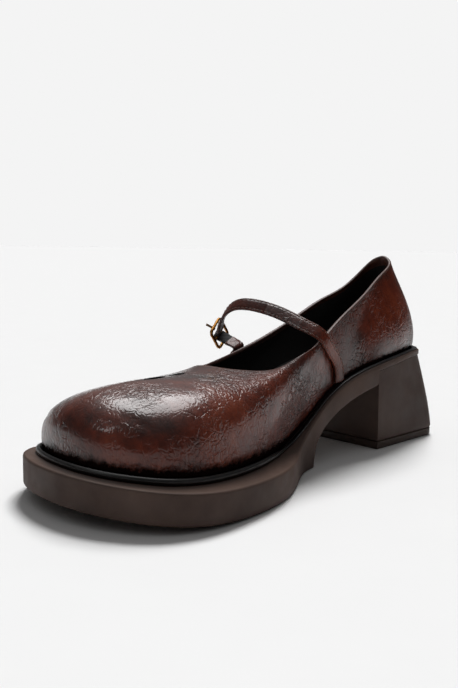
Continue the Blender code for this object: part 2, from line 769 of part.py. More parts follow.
# Tab: short strip from the outer side of the collar, folded round the middle bar
tab_rows = []
tab_ways = []
for part in (0.80, 0.89, 0.975):
    point, way = on_side(TAB_ALONG, part, TAB_THICK / 2 + 1.6 * GAP, False)
    tab_rows.append(point)
    tab_ways.append(way)
tab_rows.append(tab_rows[-1] + np.array(TAB_LIFT))
tab_ways.append(tab_ways[-1])


def fold_point(angle):
    turn = math.radians(angle)
    return frame_point(0.0, -fold * math.sin(turn), -fold * math.cos(turn))


free_end = tab_rows[-1]
free_way = tab_ways[-1]
for part in (0.30, 0.55, 0.75, 0.90):
    tab_rows.append(free_end * (1 - part) + fold_point(FOLD_START) * part)
    tab_ways.append(free_way * (1 - part) + frame_side * part)
for angle in np.linspace(FOLD_START, FOLD_START + FOLD_TURN, 12):
    tab_rows.append(fold_point(angle))
    tab_ways.append(frame_side)
tab_path, tab_lean = resample(tab_rows, tab_ways, TAB_STEPS)
ribbon("tab", tab_path, np.full(TAB_STEPS, TAB_WIDTH), TAB_THICK, tab_lean, BLACK)

# Cut-outs on the middle of the vamp, one lens behind the other
for number, (along, wide, long) in enumerate(CUTOUTS):
    outline = []
    for angle in np.linspace(0, 360, 20, endpoint=False):
        turn = math.radians(angle)
        narrow = math.sin(turn) * abs(math.sin(turn)) ** 0.4
        outline.append((wide / 2 * narrow, y_of(along) + long / 2 * math.cos(turn)))
    low = [(x, y, 0.28 * TOP_HEIGHT) for x, y in outline]
    high = [(x, y, 0.70 * TOP_HEIGHT) for x, y in outline]
    cutter = tube("cutout_%d" % number, [np.array(low), np.array(high)], LEATHER)
    cutter.hide_render = True
    cutter.display_type = "WIRE"
    cut = upper.modifiers.new("cutout_%d" % number, "BOOLEAN")
    cut.operation = "DIFFERENCE"
    cut.solver = "EXACT"
    cut.object = cutter
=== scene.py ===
# %% [markdown]
# A block-heeled mary jane shoe for the right foot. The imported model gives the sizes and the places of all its
# pieces. This lesson dresses it: a crinkled patent upper with its lining, the bead round the sole, the strap
# with its stitches, the elastic tab that holds the buckle, and the moulded platform and heel.

# %% The frame
import math

import bmesh
import bpy
from mathutils.kdtree import KDTree
import numpy as np
from mathutils import Matrix, Vector


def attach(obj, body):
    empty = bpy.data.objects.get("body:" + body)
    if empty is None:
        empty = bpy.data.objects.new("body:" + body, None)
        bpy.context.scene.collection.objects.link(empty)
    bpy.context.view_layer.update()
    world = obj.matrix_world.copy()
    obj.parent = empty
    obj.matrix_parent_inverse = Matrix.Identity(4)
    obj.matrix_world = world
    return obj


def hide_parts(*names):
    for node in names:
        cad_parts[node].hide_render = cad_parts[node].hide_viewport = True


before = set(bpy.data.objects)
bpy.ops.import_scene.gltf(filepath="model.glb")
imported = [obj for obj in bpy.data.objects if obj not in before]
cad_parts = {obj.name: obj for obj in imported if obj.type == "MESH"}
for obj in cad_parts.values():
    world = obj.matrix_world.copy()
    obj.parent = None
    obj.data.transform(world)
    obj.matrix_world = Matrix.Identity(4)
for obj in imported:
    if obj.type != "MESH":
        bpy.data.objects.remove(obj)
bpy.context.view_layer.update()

MM = 0.001
print("frame holds", sorted(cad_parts))

# %% [markdown]
# ## Sizes
# The soft pieces follow the same driving sizes as the model: length of the sole, width at the ball, height of
# the topline. Every table below holds shares of these, so that a piece can be found again on a larger shoe.

# %% Driving sizes
LENGTH = 259.0 * MM
BALL_WIDTH = 108.0 * MM
TOP_HEIGHT = 107.0 * MM
SEAT_HEIGHT = 52.0 * MM
PLATFORM = 13.9 * MM
TOE_SPRING = 6.5 * MM
SPRING_START = 0.68
HEEL_BASE_LENGTH = 62.0 * MM
HEEL_BASE_WIDTH = 56.0 * MM
BASE_CORNER = 9.5 * MM
SEAT_INSET = 0.6 * MM
ARCH_HEIGHT = 36.6 * MM
SEAT_THICK = 3.2 * MM
TIP_THICK = 4.4 * MM
BREAST = 0.2510
ARCH_FRONT = 0.4648
TAB_ALONG = 0.4570
BACK_Y = 33.65 * MM
WALL = 2.0 * MM
BEAD_WIDTH = 3.0 * MM
BEAD_HEIGHT = 3.4 * MM
STRAP_WIDTH = 7.2 * MM
STRAP_THICK = 1.7 * MM
TAB_WIDTH = 7.4 * MM
TAB_THICK = 1.2 * MM
GAP = 0.3 * MM
print("sole %.0f mm long, %.0f mm wide" % (LENGTH / MM, BALL_WIDTH / MM))

# %% [markdown]
# The tables were read off the photo through its camera. The side that the photo doesn't show follows the usual
# shape of a last.

# %% Tables of the sole, as shares
# Along, medial, lateral.
RIM = (
    (0.0, 0.0, 0.0), (0.02, 0.127, 0.118), (0.05, 0.181, 0.174), (0.09, 0.214, 0.211),
    (0.16, 0.246, 0.248), (0.26, 0.256, 0.274), (0.35, 0.247, 0.303), (0.43, 0.247, 0.34),
    (0.5, 0.28, 0.372), (0.56, 0.362, 0.4), (0.63, 0.463, 0.428), (0.7, 0.517, 0.446),
    (0.78, 0.543, 0.454), (0.85, 0.535, 0.456), (0.91, 0.473, 0.43), (0.955, 0.356, 0.352),
    (0.985, 0.212, 0.222),
)
RIM_TIP = (1.000, 0.000)

# Along, height.
SOLE_TOP = (
    (0.0, 0.99), (0.09, 1.0), (0.16, 0.977), (0.262, 0.908), (0.3, 0.869), (0.344, 0.804),
    (0.39, 0.704), (0.43, 0.587), (0.46, 0.48), (0.5, 0.36), (0.54, 0.296), (0.58, 0.273),
    (0.62, PLATFORM / SEAT_HEIGHT), (1.0, PLATFORM / SEAT_HEIGHT),
)

# Along, height.
ARCH = (
    (0.25, 1.0), (0.309, 0.902), (0.36, 0.776), (0.405, 0.612), (0.44, 0.429), (0.458, 0.25),
    (0.4646, 0.06),
)

# Along, medial, lateral.
LEDGE = (
    (0.0, 0.016, 0.016), (0.09, 0.008, 0.008), (0.26, 0.012, 0.012), (0.43, 0.014, 0.014),
    (0.5, 0.034, 0.018), (0.56, 0.07, 0.028), (0.63, 0.098, 0.04), (0.7, 0.106, 0.048),
    (0.85, 0.104, 0.048), (0.93, 0.09, 0.046), (1.0, 0.064, 0.064),
)

# %% Tables of the upper and the strap, as shares
# Along, sideways, height.
TOPLINE = (
    (0.097, 0.0, 1.0), (0.104, 0.048, 0.99), (0.1196, 0.09, 0.964), (0.1776, 0.128, 0.903),
    (0.266, 0.18, 0.808), (0.3745, 0.222, 0.694), (0.459, 0.25, 0.596), (0.529, 0.266, 0.549),
    (0.591, 0.25, 0.507), (0.629, 0.185, 0.505), (0.6486, 0.094, 0.508), (0.6544, 0.0, 0.51),
    (0.6486, -0.094, 0.497), (0.6255, -0.182, 0.471), (0.575, -0.24, 0.464), (0.494, -0.258, 0.5),
    (0.351, -0.255, 0.607), (0.274, -0.235, 0.692), (0.216, -0.208, 0.761), (0.162, -0.162, 0.825),
    (0.1196, -0.094, 0.936), (0.104, -0.05, 0.984),
)

PROFILE_COLUMNS = ("along", "topline", "bulge", "reach", "puff", "rise", "drop", "outer_rise", "outer_drop")
PROFILE = (
    (0.0, 0.0, 0.046, 0.32, 0.0, 0.33, -0.25, 0.33, -0.25),
    (0.12, 0.07, 0.04, 0.32, 0.006, 0.34, -0.27, 0.34, -0.27),
    (0.27, 0.22, 0.028, 0.3, 0.014, 0.33, -0.3, 0.33, -0.3),
    (0.42, 0.42, 0.026, 0.3, 0.02, 0.33, -0.33, 0.33, -0.33),
    (0.55, 0.57, 0.045, 0.36, 0.02, 0.44, -0.25, 0.42, -0.26),
    (0.66, 0.7, 0.058, 0.38, 0.014, 0.58, -0.11, 0.5, -0.19),
    (0.76, 0.81, 0.064, 0.4, 0.006, 0.79, -0.06, 0.6, -0.2),
    (0.88, 0.92, 0.073, 0.44, 0.0, 1.12, -0.1, 1.0, -0.3),
    (1.0, 1.0, 0.075, 0.46, 0.0, 1.3, -0.21, 1.3, -0.21),
)

STRAP_ON_SIDE = (
    (0.37, 0.06), (0.3715, 0.165), (0.375, 0.27), (0.383, 0.4), (0.397, 0.56), (0.415, 0.72),
    (0.43, 0.85),
)
STRAP_OVER = (
    (0.448, 0.25, 0.646), (0.457, 0.17, 0.672), (0.463, 0.093, 0.706), (0.472, 0.018, 0.735),
    (0.484, -0.065, 0.757), (0.491, -0.148, 0.765), (0.493, -0.208, 0.76), (0.493, -0.26, 0.738),
)
BUCKLE_AT = (0.4716, -0.380, 0.594)
STRAP_END = ((11.0 * MM, -6.4 * MM), (7.0 * MM, -4.0 * MM), (3.3 * MM, -1.9 * MM))
print("topline runs through", len(TOPLINE), "points")

# %% [markdown]
# ## The last as functions
# A shoe is drawn on a last. Here the last is a few smooth columns: the sole's edge seen from above, the height
# of the sole's top, the topline, and one curve up the side at each place along the edge. The same columns give
# the bead, the upper, its lining and the sock, so that all of them fit each other.

# %% Smooth columns
def hermite(t, start, end, slope, slope_end):
    """Cubic from start to end with the given slopes at both."""
    low = (1 + 2 * t) * (1 - t) ** 2 * start + t * (1 - t) ** 2 * slope
    return low + t * t * (3 - 2 * t) * end + t * t * (t - 1) * slope_end


def column(table, which):
    """One column of a table as a smooth function of the first, which never overshoots the rows."""
    rows = np.array(table, float)
    x = rows[:, 0]
    y = rows[:, which]
    h = np.diff(x)
    slope = np.diff(y) / h
    d = np.zeros(len(x))
    for i in range(1, len(x) - 1):
        if slope[i - 1] * slope[i] > 0:
            a = 2 * h[i] + h[i - 1]
            b = h[i] + 2 * h[i - 1]
            d[i] = (a + b) / (a / slope[i - 1] + b / slope[i])
    d[0] = slope[0]
    d[-1] = slope[-1]

    def value(at):
        at = np.clip(np.asarray(at, float), x[0], x[-1])
        i = np.clip(np.searchsorted(x, at) - 1, 0, len(h) - 1)
        return hermite((at - x[i]) / h[i], y[i], y[i + 1], h[i] * d[i], h[i] * d[i + 1])

    return value


# %% Curves through points
def closed_spline(points, count):
    """Count points evenly along the parameter of a closed cubic curve through the points."""
    p = np.array(points, float)
    n = len(p)
    h = np.linalg.norm(np.roll(p, -1, 0) - p, axis=1) ** 0.7
    matrix = np.zeros((n, n))
    right = np.zeros_like(p)
    for i in range(n):
        before = h[i - 1]
        after = h[i]
        matrix[i, i] = 2 * (before + after)
        matrix[i, i - 1] += after
        matrix[i, (i + 1) % n] += before
        rise = (p[i] - p[i - 1]) / before * after + (p[(i + 1) % n] - p[i]) / after * before
        right[i] = 3 * rise
    d = np.linalg.solve(matrix, right)
    knots = np.concatenate([[0], np.cumsum(h)])
    at = np.linspace(0, knots[-1], count, endpoint=False)
    i = np.clip(np.searchsorted(knots, at, side="right") - 1, 0, n - 1)
    t = ((at - knots[i]) / h[i])[:, None]
    step = h[i][:, None]
    j = (i + 1) % n
    return hermite(t, p[i], p[j], step * d[i], step * d[j])


def open_spline(points, count):
    """Count points evenly spaced along a smooth open curve."""
    p = np.array(points, float)
    q = np.vstack([2 * p[0] - p[1], p, 2 * p[-1] - p[-2]])
    dense = []
    for i in range(1, len(q) - 2):
        for t in np.linspace(0, 1, 24, endpoint=False):
            dense.append(hermite(t, q[i], q[i + 1], (q[i + 1] - q[i - 1]) / 2, (q[i + 2] - q[i]) / 2))
    dense = np.array(dense + [p[-1]])
    run = run_of(dense)
    at = np.linspace(0, run[-1], count)
    return np.stack([np.interp(at, run, dense[:, k]) for k in range(3)], 1)


def run_of(points):
    """Distance run along a line of points."""
    return np.concatenate([[0], np.cumsum(np.linalg.norm(np.diff(points, axis=0), axis=1))])


def unit(v):
    return v / np.linalg.norm(v, axis=-1, keepdims=True)


# %% Heights along the sole
def share_of(y):
    return (BACK_Y - y) / LENGTH


def y_of(share):
    return BACK_Y - share * LENGTH


top_height = column(SOLE_TOP, 1)
arch_height = column(ARCH, 1)


def spring(share):
    return TOE_SPRING * np.clip((share - SPRING_START) / (1 - SPRING_START), 0, 1.2) ** 2


def sole_top(share):
    return SEAT_HEIGHT * top_height(share) + spring(share)


def sole_under(share):
    under = np.where(share > ARCH_FRONT, spring(share), ARCH_HEIGHT * arch_height(share))
    return np.where(share < BREAST, sole_top(share) - SEAT_THICK, under)


print("seat and platform %.1f and %.1f mm high" % (sole_top(0.1) / MM, sole_top(0.65) / MM))

# %% [markdown]
# Stations are spread along both sides of the sole, closer at the heel and the toe, where the edge turns. Two
# pairs of stations stand on either side of the steps in the underside, so that these stay crisp.

# %% The sole's edge as a loop of stations
STATIONS = 170
DENSE = 20000
medial_rows = [(m * BALL_WIDTH, y_of(s)) for s, m, _ in RIM[1:]]
lateral_rows = [(-l * BALL_WIDTH, y_of(s)) for s, _, l in reversed(RIM[1:])]
tip_row = [(RIM_TIP[1] * BALL_WIDTH, y_of(RIM_TIP[0]))]
dense_edge = closed_spline([(0.0, y_of(0.0))] + medial_rows + tip_row + lateral_rows, DENSE)
dense_ahead = unit(np.roll(dense_edge, -1, 0) - np.roll(dense_edge, 1, 0))
dense_out = np.stack([-dense_ahead[:, 1], dense_ahead[:, 0]], 1)
dense_out *= np.sign(np.sum((dense_edge - dense_edge.mean(0)) * dense_out))
back_at = int(dense_edge[:, 1].argmax())
tip_at = int(dense_edge[:, 1].argmin())


def side_index(order, share):
    reached = np.searchsorted(np.maximum.accumulate(share_of(dense_edge[order, 1])), share)
    return order[np.clip(reached, 0, len(order) - 1)]


spread = np.linspace(0, 1, STATIONS + 2)[1:-1]
shares = 0.30 * spread + 0.70 * (1 - np.cos(np.pi * spread)) / 2
steps_at = [BREAST - 0.0004, BREAST + 0.0004, ARCH_FRONT - 0.0003, ARCH_FRONT + 0.0003]
shares = [s for s in shares if min(abs(s - f) for f in steps_at) > 0.0020]
shares = np.array(sorted(shares + steps_at))
medial_order = np.arange(back_at, back_at + (tip_at - back_at) % DENSE + 1) % DENSE
lateral_order = np.arange(back_at, back_at - (back_at - tip_at) % DENSE - 1, -1) % DENSE
medial_at = side_index(medial_order, shares)
lateral_at = side_index(lateral_order, shares)
LOOP = np.concatenate([[back_at], medial_at, [tip_at], lateral_at[::-1]])
EDGE = dense_edge[LOOP]
OUT = dense_out[LOOP]
COUNT = len(LOOP)
HALF = len(shares)
EDGE_SHARE = share_of(EDGE[:, 1])
MEDIAL_SIDE = np.arange(COUNT) <= HALF + 1
ledge_sides = [column(LEDGE, which)(EDGE_SHARE) for which in (1, 2)]
LEDGE_IN = np.where(MEDIAL_SIDE, *ledge_sides) * BALL_WIDTH
UPPER_IN = LEDGE_IN + BEAD_WIDTH + GAP


def ring(inset, above=0.0):
    """Loop of points inset from the sole's edge, lying on the sole's top."""
    flat = EDGE - OUT * np.reshape(inset * np.ones(COUNT), (-1, 1))
    return np.column_stack([flat, sole_top(share_of(flat[:, 1])) + above])


print("stations round the edge:", COUNT)

# %% [markdown]
# ## Side of the upper
# At every station one cubic curve climbs from the bead to the topline. Its two pulls are read from the profile
# table: how far the side bulges, how steeply it rises, and how it turns in under the topline.

# %% The upper's outer and inner skins
PROFILE_STEPS = 64
foot = ring(UPPER_IN, above=GAP)
run = run_of(np.vstack([foot, foot[:1]]))
medial_run = run[HALF + 1]
half_along = np.where(MEDIAL_SIDE, run[:-1] / medial_run, (run[-1] - run[:-1]) / (run[-1] - medial_run))
topline_rows = [(x * BALL_WIDTH, y_of(s), z * TOP_HEIGHT) for s, x, z in TOPLINE]
dense_top = closed_spline(topline_rows, DENSE)
top_run = run_of(np.vstack([dense_top, dense_top[:1]]))
throat_at = int(dense_top[:, 1].argmin())
profile = {n: column(PROFILE, PROFILE_COLUMNS.index(n))(half_along) for n in PROFILE_COLUMNS[1:]}
medial_top = profile["topline"] * top_run[throat_at]
lateral_top = top_run[-1] - profile["topline"] * (top_run[-1] - top_run[throat_at])
top_along = np.where(MEDIAL_SIDE, medial_top, lateral_top)
wrapped = np.vstack([dense_top, dense_top[:1]])
collar = np.stack([np.interp(top_along, top_run, wrapped[:, k]) for k in range(3)], 1)

UP = np.array([0.0, 0.0, 1.0])
out3 = np.column_stack([OUT, np.zeros(COUNT)])
height = (collar - foot)[:, 2:]
across = (foot - collar) * (1, 1, 0)
rise = np.where(MEDIAL_SIDE, profile["rise"], profile["outer_rise"])[:, None]
drop = np.where(MEDIAL_SIDE, profile["drop"], profile["outer_drop"])[:, None]
lower_pull = foot + out3 * profile["bulge"][:, None] * BALL_WIDTH + UP * rise * height
upper_pull = collar + across * profile["reach"][:, None]
upper_pull += out3 * profile["puff"][:, None] * BALL_WIDTH + UP * drop * height


def upper_row(t):
    low = (1 - t) ** 3 * foot + 3 * t * (1 - t) ** 2 * lower_pull
    return low + 3 * t * t * (1 - t) * upper_pull + t ** 3 * collar


steps = np.linspace(0, 1, PROFILE_STEPS + 1)
outer = np.array([upper_row(t) for t in steps])
rise_dir = np.gradient(outer, axis=0)
loop_dir = np.roll(outer, -1, 1) - np.roll(outer, 1, 1)
normal = unit(np.cross(loop_dir, rise_dir))
normal *= np.sign(np.sum(normal[2] * out3))
print("upper spans", np.round(outer.reshape(-1, 3).min(0) / MM, 1), np.round(outer.reshape(-1, 3).max(0) / MM, 1))

# %% [markdown]
# ## Camera
# The photo was taken from low down, in front of the inner side and about 40 cm away, so that the toe looks
# large. The camera stands where the sole's outline and the heel's base fall on their places in the photo.

# %% Camera
camera_data = bpy.data.cameras.new("photo_camera")
camera_data.lens = 41.1
camera_data.sensor_width = 36.0
camera_data.clip_start = 0.01
camera_data.clip_end = 100.0
camera = bpy.data.objects.new("photo_camera", camera_data)
bpy.context.scene.collection.objects.link(camera)
CAMERA_AT = Vector((274.32, -392.82, 112.0)) * MM
AZIMUTH = math.radians(45.307)
ELEVATION = math.radians(7.09)
ROLL = math.radians(0.83)
back = Vector((
    math.sin(AZIMUTH) * math.cos(ELEVATION),
    -math.cos(AZIMUTH) * math.cos(ELEVATION),
    math.sin(ELEVATION),
))
right = Vector((0, 0, 1)).cross(back).normalized()
up = back.cross(right)
rolled_right = right * math.cos(ROLL) + up * math.sin(ROLL)
rolled_up = up * math.cos(ROLL) - right * math.sin(ROLL)
turn = Matrix((rolled_right, rolled_up, back)).transposed()
camera.matrix_world = Matrix.Translation(CAMERA_AT) @ turn.to_4x4()
bpy.context.scene.camera = camera
print("camera stands %.0f mm high" % (CAMERA_AT.z / MM))

# %% [markdown]
# ## Light and floor
# The photo's shadow falls forward from under the toe, so a wide sun stands high behind the shoe. It gives only
# the shade and the shadow. Two discs, a wide one overhead and a small one before the toe, show only in
# reflections, and draw the long pale lights on the vamp.

# %% Lamps
def lamp(name, kind, towards, strength, **settings):
    """Lamp that shines on the shoe from the given direction."""
    data = bpy.data.lights.new(name, kind)
    data.energy = strength
    for key, value in settings.items():
        setattr(data, key, value)
    made = bpy.data.objects.new(name, data)
    bpy.context.scene.collection.objects.link(made)
    direction = Vector(towards).normalized()
    made.location = LAMPS_AIM + direction * LAMPS_AWAY
    made.rotation_euler = direction.to_track_quat("Z", "Y").to_euler()
    return made


LAMPS_AIM = Vector((0.0, -0.10, 0.04))
LAMPS_AWAY = 1.4
sun = lamp("key_sun", "SUN", (-0.30, 0.44, 0.84), 3.44, angle=math.radians(20))
sun.visible_glossy = False
for name, towards, strength, across_it in (
    ("overhead_box", (-0.26, 0.16, 0.95), 22.0, 1.20),
    ("toe_lamp", (-0.12, -0.86, 0.50), 0.8, 0.30),
):
    disc = lamp(name, "AREA", towards, strength, shape="DISK", size=across_it)
    disc.visible_diffuse = False

# %% [markdown]
# The room's light and every material are small graphs of nodes. One function turns an sRGB hex value into a
# linear colour, one gives a node's inputs their values or links, and one adds a node with its settings.

# %% Colours and nodes
def colour(value):
    """Linear colour from an sRGB hex value, or a grey of the given level."""
    if not isinstance(value, str):
        return (value, value, value, 1)
    parts = [int(value[i:i + 2], 16) / 255 for i in (1, 3, 5)]
    return (*(c / 12.92 if c <= 0.04045 else ((c + 0.055) / 1.055) ** 2.4 for c in parts), 1)


def feed(node, inputs):
    """Gives each input a value, an output socket, or the first output of another node."""
    for key, source in inputs.items():
        if isinstance(source, bpy.types.Node):
            source = source.outputs[0]
        if isinstance(source, bpy.types.NodeSocket):
            node.id_data.links.new(source, node.inputs[key])
        else:
            node.inputs[key].default_value = source


def add(tree, kind, inputs=None, stops=(), **settings):
    """Adds a node with its settings, inputs, and colour stops where it has them."""
    node = tree.nodes.new("ShaderNode" + kind)
    for key, value in settings.items():
        setattr(node, key, value)
    feed(node, inputs or {})
    if stops:
        elements = node.color_ramp.elements
        while len(elements) < len(stops):
            elements.new(0.5)
        for element, (place, level) in zip(elements, stops):
            element.position = place
            element.color = colour(level)
    return node


# %% [markdown]
# The room is dim, a little brighter straight above and behind the shoe, as between pale walls. Only the camera
# sees the flat pale backdrop.

# %% The room's light
world = bpy.data.worlds.new("studio")
world.use_nodes = True
bpy.context.scene.world = world
tree = world.node_tree
way = add(tree, "TexCoord").outputs["Generated"]
facing = []
for towards in ((0, 0, 1), (-0.70, 0.70, 0.15)):
    dot = add(tree, "VectorMath", {0: way, 1: Vector(towards).normalized()}, operation="DOT_PRODUCT")
    facing.append(dot.outputs["Value"])
above = add(tree, "Math", {0: facing[0], 1: 0.0}, operation="MAXIMUM")
above = add(tree, "Math", {0: above, 1: 2.0}, operation="POWER")
behind = add(tree, "Math", {0: facing[1], 1: 2.8, 2: -1.7}, operation="MULTIPLY_ADD", use_clamp=True)
room = add(tree, "Math", {0: above, 1: 0.46, 2: 0.03}, operation="MULTIPLY_ADD")
room = add(tree, "Math", {0: behind, 1: 0.16, 2: room}, operation="MULTIPLY_ADD")
fill = add(tree, "Background", {"Strength": room})
backdrop = tree.nodes["Background"]
feed(backdrop, {"Color": colour("#f4f4f4")})
camera_ray = add(tree, "LightPath").outputs["Is Camera Ray"]
feed(tree.nodes["World Output"], {"Surface": add(tree, "MixShader", {0: camera_ray, 1: fill, 2: backdrop})})
bpy.context.scene.view_settings.view_transform = "Standard"
print("room light has", len(tree.nodes), "nodes")

# %% [markdown]
# ## Materials
# Each finish starts from one Principled shader. Patterns are read from object space in metres, and their scales
# come from real sizes in millimetres.

# %% Starting a finish
def finish_of(name, **values):
    """Material with one Principled shader: the material, its tree, its shader, and object space."""
    made = bpy.data.materials.new(name)
    made.use_nodes = True
    shader = made.node_tree.nodes["Principled BSDF"]
    feed(shader, {key.replace("_", " "): value for key, value in values.items()})
    print("finish:", name)
    return made, made.node_tree, shader, add(made.node_tree, "TexCoord").outputs["Object"]


def per(millimetres):
    """Texture scale for a pattern that repeats about every so many millimetres."""
    return 1 / (millimetres * MM)


# %% [markdown]
# Crinkled patent leather is a soft leather with a thin glossy film, tumbled until the film creases into a net
# of fine wrinkles. The hide is dyed dark and clouded with a warmer brown. It is darker near its edges, a painted
# shade, and near-black in a ragged band over the bead, the painted shade of the groove under the upper. Two
# nets of wrinkles, 2 and 5 mm wide, are bent by noise and pressed into the film. A displaced mesh could carry
# them, but would need far more faces.

# %% Crinkled patent leather
def crinkled_patent(name, net=1.0):
    made, tree, shader, place = finish_of(name, Roughness=0.34, IOR=1.5, Coat_Roughness=0.08, Coat_IOR=1.42)
    clouds, small, bend, patch, swell = (
        add(tree, "TexNoise", {"Vector": place, "Scale": per(size), "Detail": detail, "Roughness": rough})
        for size, detail, rough in ((30, 4.0, 0.6), (4, 5.0, 0.6), (7, 3.0, 0.5), (20, 2.0, 0.5), (8, 2.0, 0.5))
    )
    mixed = add(tree, "MixRGB", {"Fac": 0.30, "Color1": clouds, "Color2": small})
    # Painted shade and tone: a vertex value lightens the hide at warm spots and darkens it near its edges.
    glow = add(tree, "Attribute", attribute_name="glow")
    lifted = add(tree, "Math", {0: mixed, 1: glow.outputs["Fac"]}, operation="ADD")
    hide_stops = ((0.34, "#1d0a07"), (0.50, "#3d180f"), (0.64, "#5a2415"), (0.86, "#7a3820"))
    hide = add(tree, "ValToRGB", {"Fac": lifted}, hide_stops)
    # Painted shade: a ragged band just over the bead turns near-black, as the shadow of the groove there.
    above = add(tree, "Attribute", attribute_name="above_bead")
    ragged = add(tree, "Math", {0: small, 1: 0.60, 2: above.outputs["Fac"]}, operation="MULTIPLY_ADD")
    groove_shade = add(tree, "ValToRGB", {"Fac": ragged}, ((0.72, 0.0), (0.98, 1.0)))
    skin_colour = add(tree, "MixRGB", {"Fac": groove_shade, "Color1": colour("#120908"), "Color2": hide})

    gloss = add(tree, "Attribute", attribute_name="gloss")
    # The film's shine is taken away too in the painted shade over the bead.
    dulled = add(tree, "Math", {0: gloss.outputs["Fac"], 1: groove_shade}, operation="MULTIPLY", use_clamp=True)
    under_film = add(tree, "Math", {0: dulled, 1: 0.35}, operation="MULTIPLY")

    bent = add(tree, "MixRGB", {"Fac": 0.0030, "Color1": place, "Color2": bend.outputs["Color"]},
               blend_type="LINEAR_LIGHT")
    upright = add(tree, "Mapping", {"Vector": bent, "Scale": (1.0, 1.0, 0.45)})
    amount = add(tree, "ValToRGB", {"Fac": patch}, ((0.38, 0.18), (0.62, 1.0)))
    strength = add(tree, "Math", {0: amount, 1: 0.95 * net}, operation="MULTIPLY")
    relief = add(tree, "Bump", {"Height": swell, "Strength": 0.30, "Distance": 0.30 * MM})
    for where, size, line_wide, deep in ((upright, 2.2, 0.17, 0.15), (bent, 5.2, 0.10, 0.20)):
        cells = add(tree, "TexVoronoi", {"Vector": where, "Scale": per(size)}, feature="DISTANCE_TO_EDGE")
        lines = add(tree, "ValToRGB", {"Fac": cells}, ((0.0, 0.0), (line_wide, 1.0)))
        lines.color_ramp.interpolation = "EASE"
        relief = add(tree, "Bump", {"Height": lines, "Strength": strength, "Normal": relief, "Distance": deep * MM})
    feed(shader, {
        "Base Color": skin_colour,
        "Coat Weight": dulled,
        "Specular IOR Level": under_film,
        "Normal": relief,
        "Coat Normal": relief,
    })
    return made


patent = crinkled_patent("crinkled_patent_leather")
strap_patent = crinkled_patent("strap_patent_leather", net=0.45)

# %% [markdown]
# The platform and the heel are moulded in foamed rubber, rough and matte, with the fine grain of a blasted
# mould and faint rubbed places. Grain of 0.5 mm shows as a soft break-up of the shade, and faces that look up
# are painted paler: painted light from above, with a little dust.

# %% Moulded rubber
def moulded_rubber(name, dark, light, grain):
    made, tree, shader, place = finish_of(name, Roughness=0.62, IOR=1.52, Specular_IOR_Level=0.22)
    clouds = add(tree, "TexNoise", {"Vector": place, "Scale": per(45), "Detail": 5.0, "Roughness": 0.6})
    tone = add(tree, "ValToRGB", {"Fac": clouds}, ((0.35, dark), (0.68, light)))
    # Painted light: faces that look up are mixed towards a paler brown, as if lit from above, with a little dust.
    upward = add(tree, "SeparateXYZ", {"Vector": add(tree, "NewGeometry").outputs["Normal"]})
    ledge = add(tree, "ValToRGB", {"Fac": upward.outputs["Z"]}, ((0.55, 0.0), (0.95, 0.10)))
    dust_and_top_light = add(tree, "MixRGB", {"Fac": ledge, "Color1": tone, "Color2": colour("#8a6f60")})
    rub = add(tree, "TexNoise", {"Vector": place, "Scale": per(12), "Detail": 4.0})
    dull = add(tree, "ValToRGB", {"Fac": rub}, ((0.3, 0.50), (0.7, 0.70)))
    pits = add(tree, "TexNoise", {"Vector": place, "Scale": per(grain), "Detail": 3.0})
    bump = add(tree, "Bump", {"Height": pits, "Strength": 0.35, "Distance": 0.10 * MM})
    feed(shader, {"Base Color": dust_and_top_light, "Roughness": dull, "Normal": bump})
    return made


sole_rubber = moulded_rubber("moulded_brown_rubber", "#3d2e28", "#54423a", 0.5)
heel_rubber = moulded_rubber("moulded_heel_rubber", "#3b2d28", "#4b3b34", 0.5)
tip_rubber = moulded_rubber("heel_tip_rubber", "#3a2f2a", "#463a34", 0.8)

# %% [markdown]
# The bead is an extruded strip of black plastic, smooth and glossy, that hides the seam between the upper and
# the sole. Only a slight waviness along it keeps its highlight from looking drawn. The smaller finishes below
# share its plan: clouds of one size tint the colour, and the same clouds, or pores, raise the surface.

# %% Clouded finishes, and the glossy black bead
def clouded(name, dark, light, size, stops=(0.32, 0.68), rise=(0.4, 0.08), pores=None, **values):
    """Finish tinted by clouds, and raised by them or by pores: sizes and depth in millimetres."""
    made, tree, shader, place = finish_of(name, **values)
    cloud = add(tree, "TexNoise", {"Vector": place, "Scale": per(size), "Detail": 4.0})
    tone = add(tree, "ValToRGB", {"Fac": cloud}, ((stops[0], dark), (stops[1], light)))
    raised = add(tree, "TexVoronoi", {"Vector": place, "Scale": per(pores)}) if pores else cloud
    bump = add(tree, "Bump", {"Height": raised, "Strength": rise[0], "Distance": rise[1] * MM})
    feed(shader, {"Base Color": tone, "Normal": bump})
    return made


bead_black = clouded("extruded_black_bead", "#0b0909", "#1a1514", 6, (0.3, 0.75), (0.3, 0.15),
                     Roughness=0.36, IOR=1.5)

# %% [markdown]
# Inside, the shoe is lined with thin black leather, napless and dull, and the sock is the same leather on foam.
# Its pores, drawn 0.9 mm wide so that they show, are all that breaks up its surface.

# %% Black lining leather
leather = {"stops": (0.3, 0.7), "rise": (0.4, 0.1), "pores": 0.9, "Roughness": 0.72, "IOR": 1.45}
lining = clouded("black_lining_leather", "#0c0a0a", "#181414", 20, **leather)
sock = clouded("black_sock_leather", "#121010", "#1e1a1a", 20, **leather)

# %% [markdown]
# The cut edges and the folded topline are the same leather, painted a little paler, and they catch the light
# as a thin line. Threads are waxed polyester in the shoe's brown. The buckle is brass wire, lacquered to look
# old. The elastic is woven in ribs: a wave texture of scale 1 repeats every 0.31, so a size of 5.2 mm draws
# them 1.6 mm apart.

